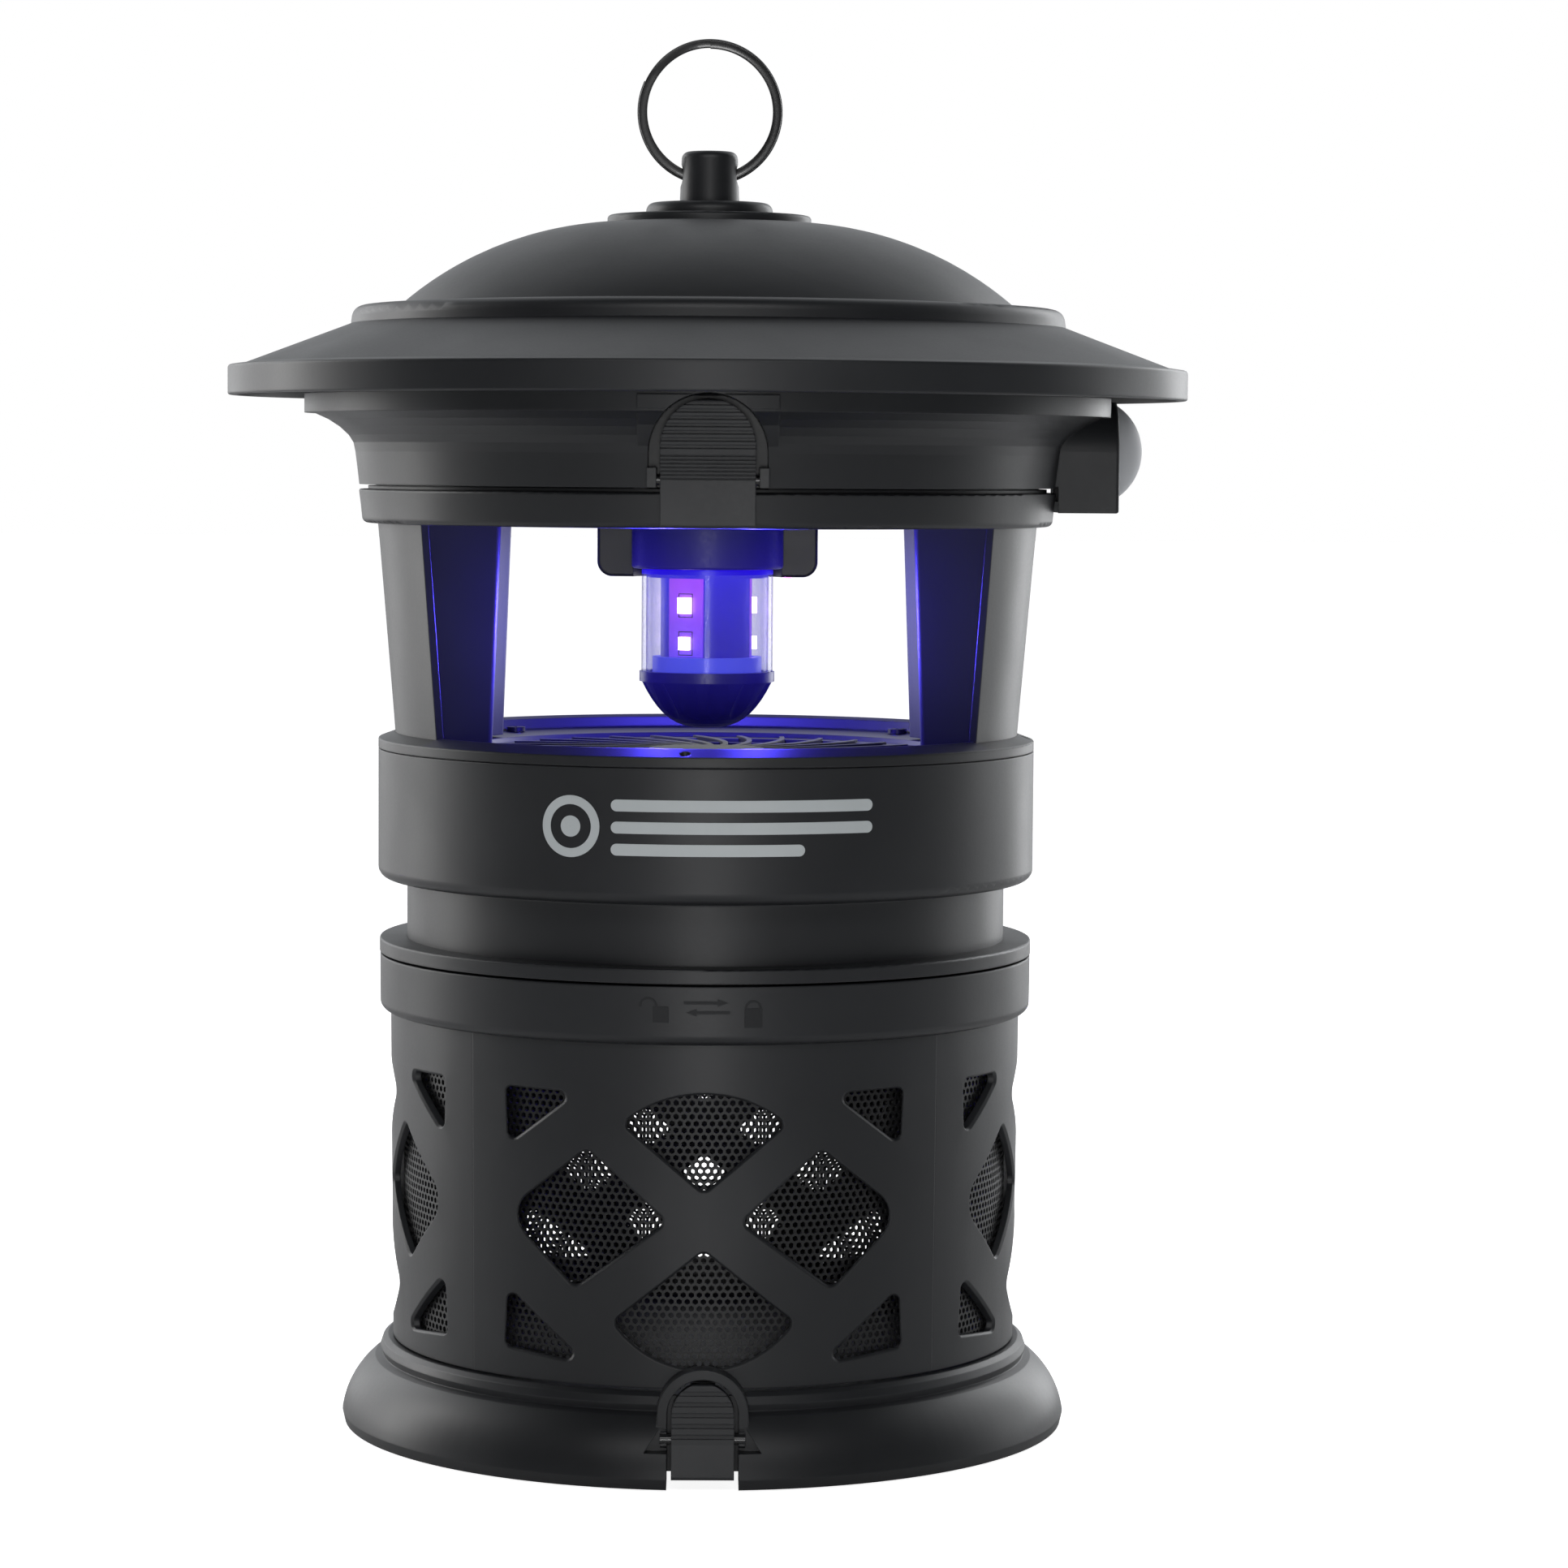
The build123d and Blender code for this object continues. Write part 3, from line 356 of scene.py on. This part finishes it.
def clearFinish(name):
    # a thin clear wall: nearly see-through square on, more solid and brighter at the edge
    material, tree, shader, where = startMaterial(name)
    facing = tree.nodes.new("ShaderNodeLayerWeight")
    facing.inputs["Blend"].default_value = 0.35
    smears = noiseNode(tree, where, 120.0, 3.0)
    tree.links.new(mixColour(tree, smears, (0.55, 0.58, 0.95), (0.70, 0.72, 1.0)), shader.inputs["Base Color"])
    tree.links.new(rangeNode(tree, smears, 0.03, 0.09), shader.inputs["Roughness"])
    alpha = mathNode(tree, "ADD", mathNode(tree, "MULTIPLY", facing.outputs["Facing"], 0.55), 0.07, True)
    tree.links.new(alpha, shader.inputs["Alpha"])
    shader.inputs["IOR"].default_value = 1.49
    return material


finishes = {
    # the last colour of the two black plastics is their painted edge highlight
    "mouldedBlack": grainFinish("mouldedBlack", (0.0120, 0.0128, 0.0150), (0.0175, 0.0188, 0.0216), (0.38, 0.49),
                                paintedEdgeHighlight=(0.040, 0.042, 0.047)),
    "latchBlack": grainFinish("latchBlack", (0.0155, 0.0165, 0.0190), (0.0215, 0.0230, 0.0260), (0.40, 0.52),
                              paintedEdgeHighlight=(0.045, 0.047, 0.052)),
    "meshBlack": grainFinish("meshBlack", (0.0070, 0.0072, 0.0080), (0.0110, 0.0113, 0.0120), (0.40, 0.52),
                             bump=0.05),
    "rotorBlack": grainFinish("rotorBlack", (0.016, 0.016, 0.018), (0.024, 0.024, 0.027), (0.30, 0.42), bump=0.05),
    "buttonRubber": grainFinish("buttonRubber", (0.46, 0.47, 0.49), (0.54, 0.55, 0.57), (0.55, 0.70), bump=0.10),
    "ringCoat": grainFinish("ringCoat", (0.006, 0.006, 0.007), (0.012, 0.012, 0.014), (0.22, 0.38), bump=0.06,
                            specular=0.6, coat=0.3),
    "zincSteel": grainFinish("zincSteel", (0.50, 0.51, 0.53), (0.62, 0.63, 0.65), (0.26, 0.40), bump=0.05,
                             metallic=1.0),
    "motorCan": grainFinish("motorCan", (0.44, 0.45, 0.46), (0.54, 0.55, 0.56), (0.30, 0.46), bump=0.05,
                            metallic=1.0),
    "contactBrass": grainFinish("contactBrass", (0.70, 0.52, 0.22), (0.82, 0.64, 0.32), (0.25, 0.40), bump=0.04,
                                metallic=1.0),
    "boardGreen": grainFinish("boardGreen", (0.015, 0.12, 0.045), (0.025, 0.18, 0.070), (0.20, 0.34), bump=0.04,
                              coat=0.3),
    "componentCase": grainFinish("componentCase", (0.014, 0.014, 0.015), (0.024, 0.024, 0.026), (0.30, 0.46),
                                 bump=0.06),
    "leadRubber": grainFinish("leadRubber", (0.014, 0.014, 0.015), (0.022, 0.022, 0.023), (0.50, 0.64), bump=0.06),
    "stripGlow": glowAndPaintedLightFinish("stripGlow", (0.10, 0.06, 0.30), (0.10, 0.06, 0.95), (0.42, 0.06, 1.0), 0.85),
    # painted light: the carrier, base, collar, cap and socket are no lamps; their glow, rising with height, stands
    # for the chips' blue light falling on them
    "postPaintedGlow": glowAndPaintedLightFinish("postPaintedGlow", (0.02, 0.02, 0.20), (0.012, 0.004, 0.30), (0.014, 0.002, 0.66), 0.9),
    "collarPaintedGlow": glowAndPaintedLightFinish("collarPaintedGlow", (0.06, 0.07, 0.40), (0.05, 0.06, 0.72), (0.05, 0.05, 0.62), 0.9),
    "capPaintedGlow": glowAndPaintedLightFinish("capPaintedGlow", (0.020, 0.018, 0.14), (0.002, 0.001, 0.050), (0.012, 0.008, 0.20), 0.6,
                          heights=(184.0, 197.0)),
    "socketPaintedGlow": glowAndPaintedLightFinish("socketPaintedGlow", (0.02, 0.02, 0.12), (0.014, 0.008, 0.20), (0.004, 0.003, 0.08), 0.7,
                             heights=(222.0, 232.0), rough=0.45),
    "redLens": glowAndPaintedLightFinish("redLens", (0.55, 0.05, 0.25), (0.95, 0.10, 0.75), (1.0, 0.25, 0.85), 3.0),
    "violetChip": glowAndPaintedLightFinish("violetChip", (0.80, 0.60, 0.95), (0.80, 0.62, 1.0), (0.98, 0.62, 0.95), 7.0),
    "markPrint": grainFinish("markPrint", (0.56, 0.60, 0.61), (0.64, 0.68, 0.69), (0.50, 0.62), bump=0.04),
    "markEmboss": grainFinish("markEmboss", (0.0050, 0.0055, 0.0075), (0.0080, 0.0090, 0.0110), (0.55, 0.68),
                              bump=0.06),
    "clearWall": clearFinish("clearWall"),
}
print("finishes built:", len(finishes))

nodeFinish = {
    "latchBlack": ["top_latch_lever", "base_latch_lever"],
    "rotorBlack": ["fan_rotor"],
    "postPaintedGlow": ["led_carrier", "lamp_base"],
    "collarPaintedGlow": ["lamp_collar"],
    "capPaintedGlow": ["lamp_cap"],
    "socketPaintedGlow": ["lamp_socket"],
    "buttonRubber": ["power_button"],
    "zincSteel": ["finial_nut", "finial_washer", "lid_hinge_pin", "ceiling_screws", "roof_screws", "board_screws",
                  "motor_shaft", "base_hinge_pin"],
    "ringCoat": ["intake_screws", "top_latch_pin", "top_latch_spring", "base_latch_pin"],
    "motorCan": ["fan_motor"],
    "contactBrass": ["lid_contact"],
    "boardGreen": ["driver_board"],
    "componentCase": ["board_parts", "switch_body", "lead_socket", "power_inlet"],
    "leadRubber": ["fan_lead"],
    "stripGlow": ["led_strips"],
    "redLens": ["indicator_lens"],
    "violetChip": ["leds"],
    "clearWall": ["clear_tube"],
}


def dressNodes():
    chosen = {node: finish for finish, names in nodeFinish.items() for node in names}
    for node, piece in nodes.items():
        material = finishes[chosen.get(node, "mouldedBlack")]
        for slot in piece.material_slots:
            slot.material = material


# ---- catch mesh: a thin wall with round holes in a honeycomb layout

meshBasket = {
    "radius": 78.6, "wall": 0.7, "low": 23.6, "high": 106.2, "floorRim": 2.2,
    "columns": 248, "rows": 46, "hole": 0.76,      # holes round the wall, rows up it, hole radius in mm
    "rimSteps": 248, "rimProud": 0.05, "rimLap": 0.6,   # the plain bands at the top and the foot
}


def buildMeshBasket():
    # one cell is a six-sided tile with a six-sided hole; tiles cover the unrolled wall, which is then rolled up:
    # x = radius cos(angle), y = radius sin(angle)
    v = meshBasket
    low, high = v["low"] + v["floorRim"], v["high"] - v["floorRim"]
    stepX = 2 * math.pi / v["columns"]
    stepZ = (high - low) / v["rows"]
    tile = np.array([(0.5, -1 / 3), (0.5, 1 / 3), (0.0, 2 / 3), (-0.5, 1 / 3), (-0.5, -1 / 3), (0.0, -2 / 3)])
    turn = np.arange(6) * math.pi / 3 - math.pi / 6
    hole = np.stack([np.cos(turn) * v["hole"] / (v["radius"] * stepX), np.sin(turn) * v["hole"] / stepZ], axis=1)
    perQuarter = v["columns"] // 4
    column, row = np.meshgrid(np.arange(perQuarter), np.arange(v["rows"]), indexing="ij")
    for quarter in range(4):
        a = (column + 0.5 * (row % 2)).ravel()
        b = (row + 0.5).ravel()
        outer = np.stack([a[:, None] + tile[None, :, 0], b[:, None] + tile[None, :, 1]], axis=-1)
        inner = np.stack([a[:, None] + hole[None, :, 0], b[:, None] + hole[None, :, 1]], axis=-1)
        flat = np.concatenate([outer, inner], axis=1)
        angle = flat[..., 0] * stepX + quarter * math.pi / 2
        z = np.clip(low + flat[..., 1] * stepZ, low - stepZ / 2, high + stepZ / 2)
        walls = []
        for radius in (v["radius"], v["radius"] - v["wall"]):
            walls.append(np.stack([radius * np.cos(angle), radius * np.sin(angle), z], axis=-1))
        points = np.concatenate(walls, axis=1).reshape(-1, 3) * mm
        k = np.arange(6)
        n = (k + 1) % 6
        face = np.stack([k, n, n + 6, k + 6], axis=1)
        back = np.stack([k + 18, n + 18, n + 12, k + 12], axis=1)
        wall = np.stack([k + 6, n + 6, n + 18, k + 18], axis=1)
        cell = np.concatenate([face, back, wall])
        cells = len(a)
        quads = (cell[None] + np.arange(cells)[:, None, None] * 24).reshape(-1, 4)
        piece = putMesh("catch_mesh_%d" % (quarter + 1), points, quads, finishes["meshBlack"], "basket",
                        smooth=False)
        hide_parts("mesh_basket")
    steps, lap = v["rimSteps"], v["rimLap"]
    around = np.linspace(0, 2 * math.pi, steps, endpoint=False)[:, None]
    outside, inside = v["radius"] + v["rimProud"], v["radius"] - v["wall"] - v["rimProud"]
    for name, foot, top in (("catch_mesh_top", high - lap, v["high"]), ("catch_mesh_foot", v["low"], low + lap)):
        section = np.array([(outside, foot), (outside, top), (inside, top), (inside, foot)])
        grid = np.stack([section[None, :, 0] * np.cos(around), section[None, :, 0] * np.sin(around),
                         np.broadcast_to(section[None, :, 1], (steps, 4))], axis=-1)
        quads = gridFaces(steps, 4, True, True)[:, ::-1]
        piece = putMesh(name, grid.reshape(-1, 3) * mm, quads, finishes["meshBlack"], "basket",
                        smooth=False)
        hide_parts("mesh_basket")


# ---- split ring: flat wire wound twice, its ends near the top

splitRing = {
    "centre": (0.0, 340.2), "radius": 17.35, "width": 2.3, "thick": 1.05, "corner": 0.32,
    "start": 90.0,          # degrees, where the front turn begins
    "turn": 655.0,          # degrees of wire altogether
    "cross": (300.0, 352.0),    # the wire passes from front to back over this stretch
    "spread": 0.30,         # the back turn is this much wider
    "gap": 0.03,            # half the air between the two turns
    "steps": 420,
}


def buildSplitRing():
    # the path is a circle whose depth slides from the front layer to the back one while it crosses over
    v = splitRing
    travel = np.linspace(0, v["turn"], v["steps"])
    angle = np.radians(v["start"] - travel)
    across = np.clip((travel - v["cross"][0]) / (v["cross"][1] - v["cross"][0]), 0, 1)
    across = across * across * (3 - 2 * across)
    layer = (v["thick"] / 2 + v["gap"]) * (2 * across - 1)
    radius = v["radius"] + v["spread"] * across
    outward = np.stack([np.cos(angle), np.zeros_like(angle), np.sin(angle)], axis=1)
    centre = radius[:, None] * outward + np.stack([np.full_like(angle, v["centre"][0]), layer,
                                                   np.full_like(angle, v["centre"][1])], axis=1)
    side = np.broadcast_to(np.array([[0.0, 1.0, 0.0]]), outward.shape)
    section = roundedSection(v["width"], v["thick"], v["corner"])
    grid = sweptSection(centre, outward, side, section)
    count = len(section)
    points = np.concatenate([grid.reshape(-1, 3), grid[:1].mean(axis=1), grid[-1:].mean(axis=1)]) * mm
    quads = gridFaces(len(travel), count, False, True)
    k = np.arange(count)
    last = (len(travel) - 1) * count
    follow = (k + 1) % count
    startPole, endPole = np.full(count, len(points) - 2), np.full(count, len(points) - 1)
    first = np.stack([k, follow, startPole, startPole], axis=1)
    end = np.stack([last + follow, last + k, endPole, endPole], axis=1)
    quads = np.concatenate([quads, first, end])
    piece = putMesh("split_ring", points, quads, finishes["ringCoat"], "hanging_ring", ["hanging_ring"])
    outwardFaces(piece)


def outwardFaces(piece):
    # merges doubles, then turns every face outwards
    work = bmesh.new()
    work.from_mesh(piece.data)
    bmesh.ops.remove_doubles(work, verts=work.verts, dist=1e-7)
    bmesh.ops.recalc_face_normals(work, faces=work.faces)
    work.to_mesh(piece.data)
    work.free()


# ---- thin marks laid on a drum: a patch of points (across, up) in mm, bent round the trap's axis

def slabFaces(rows, columns, closeColumns):
    # front and back sheets of a thin slab, and the walls that join their borders
    front = gridFaces(rows, columns, False, closeColumns)
    count = rows * columns
    back = front[:, ::-1] + count
    index = np.arange(count).reshape(rows, columns)
    borders = [index[0], index[-1][::-1]]
    if not closeColumns:
        borders = [np.concatenate([index[0], index[1:, -1], index[-1, -2::-1], index[-2:0:-1, 0]])]
    walls = []
    for border in borders:
        follow = np.roll(border, -1)
        walls.append(np.stack([border, follow, follow + count, border + count], axis=1))
    return np.concatenate([front, back] + walls)


def bentSlab(patch, radius, height, rise, closeColumns):
    # x = r sin(across / radius), y = -r cos(across / radius), once just outside the drum and once just inside
    rows, columns = patch.shape[:2]
    across, up = patch[..., 0].ravel(), patch[..., 1].ravel() + height
    sheets = [np.stack([r * np.sin(across / radius), -r * np.cos(across / radius), up], axis=1)
              for r in (radius + rise, radius - rise)]
    return np.concatenate(sheets) * mm, slabFaces(rows, columns, closeColumns)


def barPatch(centre, length, thick, steps=24):
    # a stadium: its half height falls off as a circle at the two ends
    straight = (length - thick) / 2
    arc = np.linspace(90, 8, 8)
    reach = straight + thick / 2 * np.cos(np.radians(arc))
    along = np.concatenate([-reach[::-1], np.linspace(-straight, straight, steps)[1:-1], reach])
    inEnd = np.clip((np.abs(along) - straight) / (thick / 2), 0, 1)
    half = thick / 2 * np.sqrt(1 - inEnd ** 2)
    rows = np.array([-1.0, 0.0, 1.0])
    return np.stack([np.broadcast_to(centre[0] + along, (3, len(along))), centre[1] + rows[:, None] * half], axis=-1)


def ringPatch(centre, inner, outer, first=0.0, sweep=360.0, steps=48):
    # an arc band: radius across the rows, angle along the columns
    whole = sweep >= 360.0
    angle = np.radians(first + np.linspace(0, sweep, steps, endpoint=not whole))
    radii = np.array([inner, outer])[:, None]
    return np.stack([centre[0] + radii * np.cos(angle), centre[1] + radii * np.sin(angle)], axis=-1), whole


def blockPatch(low, high, steps=10):
    # a plain rectangle from its low corner to its high one
    across, up = np.meshgrid(np.linspace(low[0], high[0], steps), np.linspace(low[1], high[1], 3))
    return np.stack([across, up], axis=-1)


def arrowPatch(centre, length, thick, head, direction, steps=28):
    # a shaft whose half height jumps up at the neck of the arrow and then tapers to a tip that is barely blunt
    neck, blunt = 0.76, 0.03
    t = np.concatenate([np.linspace(0, neck, steps // 2), np.linspace(neck + 0.01, 1.0, steps // 2)])
    half = np.where(t <= neck, thick / 2, head / 2 * (1 - t) / (1 - neck) + blunt)
    rows = np.array([-1.0, 0.0, 1.0])
    across = centre[0] + direction * (t - 0.5) * length
    return np.stack([np.broadcast_to(across, (3, len(t))), centre[1] + rows[:, None] * half], axis=-1)


def layMarks(name, patches, radius, height, rise, finish, body):
    # every patch becomes a slab of its own and all of them make one piece
    points, faces, used = [], [], 0
    for patch in patches:
        patch, whole = patch if isinstance(patch, tuple) else (patch, False)
        corners, quads = bentSlab(patch, radius, height, rise, whole)
        points.append(corners)
        faces.append(quads + used)
        used += len(corners)
    piece = putMesh(name, np.concatenate(points), np.concatenate(faces), finishes[finish], body,
                    smooth=False)
    outwardFaces(piece)


bandMark = {
    "radius": 85.3, "height": 161.0, "rise": 0.06,
    "ringAt": (-34.0, 0.0), "ring": (5.4, 7.6), "dot": (0.05, 2.6),     # inner and outer radius
    "bars": (((9.5, 5.4), 66.0), ((9.5, 0.0), 66.0), ((0.5, -5.4), 48.0)),      # centre and length
    "barThick": 2.9,
}


def buildBandMark():
    # a plain ring round a dot, then three rounded bars
    v = bandMark
    patches = [ringPatch(v["ringAt"], *v["ring"]), ringPatch(v["ringAt"], *v["dot"])]
    patches += [barPatch(centre, length, v["barThick"]) for centre, length in v["bars"]]
    layMarks("band_mark", patches, v["radius"], v["height"], v["rise"], "markPrint", "trap_body")


collarMarks = {
    "radius": 84.83, "height": 116.2, "rise": 0.12,
    "blocks": (((-12.8, -2.7), (-8.9, 1.2)), ((9.7, -3.9), (14.1, 0.8))),       # low and high corner
    "shackles": (((-14.0, 1.2), 1.75, 2.25), ((11.9, 0.8), 1.55, 2.05)),        # centre, inner and outer radius
    "arrows": (((0.2, 2.2), 10.8, 1), ((0.8, -0.2), 10.6, -1)),                 # centre, length, direction
    "arrowThick": 0.75, "arrowHead": 1.9,
}


def buildCollarMarks():
    # open padlock, two arrows, closed padlock: the turn that unlocks the basket
    v = collarMarks
    patches = [blockPatch(*corners) for corners in v["blocks"]]
    patches += [ringPatch(*shackle, 0.0, 180.0, 20) for shackle in v["shackles"]]
    patches += [arrowPatch(centre, length, v["arrowThick"], v["arrowHead"], direction)
                for centre, length, direction in v["arrows"]]
    layMarks("collar_marks", patches, v["radius"], v["height"], v["rise"], "markEmboss", "basket")


chipFrames = {
    "land": 11.5, "wide": 4.2, "tall": 6.2, "line": 0.22, "lift": 0.05,
    "first": -119.0, "strips": 3, "heights": (212.9, 203.1),
}


def buildChipFrames():
    # a fine dark outline round every light chip, lying on its strip
    v = chipFrames
    corners = np.array([(-1, -1), (1, -1), (1, 1), (-1, 1)]) * 0.5
    up = np.array([0, 0, 1.0])
    k = np.arange(4)
    follow = (k + 1) % 4
    loops = ((0, 4), (4, 12), (12, 8), (8, 0))     # outer front, inner front, inner back, outer back
    oneFrame = np.concatenate([np.stack([a + k, a + follow, b + follow, b + k], axis=1) for a, b in loops])
    points, faces = [], []
    for i in range(v["strips"]):
        turn = math.radians(v["first"] + i * 360 / v["strips"])
        out = np.array([math.cos(turn), math.sin(turn), 0.0])
        side = np.array([-math.sin(turn), math.cos(turn), 0.0])
        for height in v["heights"]:
            faces.append(oneFrame + 4 * len(points))
            for depth in (v["lift"], -v["lift"]):
                for grow in (0.0, v["line"]):
                    flat = corners * np.array([v["wide"] - 2 * grow, v["tall"] - 2 * grow])
                    points.append((v["land"] + depth) * out + flat[:, :1] * side + (flat[:, 1:] + height) * up)
    piece = putMesh("chip_frames", np.concatenate(points) * mm, np.concatenate(faces), finishes["componentCase"],
                    "lamp", smooth=False)
    outwardFaces(piece)


# ---- lamp light: the chips' light, on the lamp's own body

lampLight = {
    "radius": 19.5, "height": 208.0, "size": (7.0, 20.0), "watts": 0.22, "tint": (0.08, 0.06, 1.0),
    "first": -45.0, "count": 4,
}


def buildLampLight():
    # even turns round the lamp, each light facing straight out
    for i in range(lampLight["count"]):
        angle = math.radians(lampLight["first"] + i * 360 / lampLight["count"])
        data = bpy.data.lights.new("lampLight%d" % i, "AREA")
        data.shape = "RECTANGLE"
        data.size, data.size_y = (s * mm for s in lampLight["size"])
        data.energy = lampLight["watts"]
        data.color = lampLight["tint"]
        light = bpy.data.objects.new("lampLight%d" % i, data)
        out = Vector((math.cos(angle), math.sin(angle), 0))
        light.location = out * lampLight["radius"] * mm + Vector((0, 0, lampLight["height"] * mm))
        light.rotation_euler = out.to_track_quat("-Z", "Y").to_euler()
        light.visible_camera = False
        bpy.context.scene.collection.objects.link(light)
        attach(light, "lamp")


# ---- floor

def buildFloor():
    material, tree, shader, where = startMaterial("paleFloor")
    tone = studio["floorTone"]
    patches = noiseNode(tree, where, 3.0, 2.0)
    dark, light = (tone,) * 3, (tone + 0.03,) * 3
    tree.links.new(mixColour(tree, patches, dark, light), shader.inputs["Base Color"])
    shader.inputs["Roughness"].default_value = 0.9
    shader.inputs["Specular IOR Level"].default_value = 0.1
    shader.inputs["Emission Color"].default_value = (1.0, 1.0, 1.0, 1.0)
    path = tree.nodes.new("ShaderNodeLightPath")
    seen = rangeNode(tree, path.outputs["Is Camera Ray"], studio["floorGlow"], studio["floorClear"])
    tree.links.new(seen, shader.inputs["Emission Strength"])
    reach, drop = studio["floorReach"], -studio["floorDrop"]
    corners = [(-reach, -reach, drop), (reach, -reach, drop), (reach, reach, drop), (-reach, reach, drop)]
    mesh = bpy.data.meshes.new("studio_floor")
    mesh.from_pydata(corners, [], [(0, 1, 2, 3)])
    mesh.materials.append(material)
    floor = bpy.data.objects.new("studio_floor", mesh)
    bpy.context.scene.collection.objects.link(floor)


makeCamera()
makeSky()
makeSoftBoxes()
buildFloor()
print("studio ready")
dressNodes()
buildMeshBasket()
print("catch mesh made")
buildSplitRing()
buildBandMark()
buildCollarMarks()
buildChipFrames()
buildLampLight()
print("ring, marks and lamp light made")
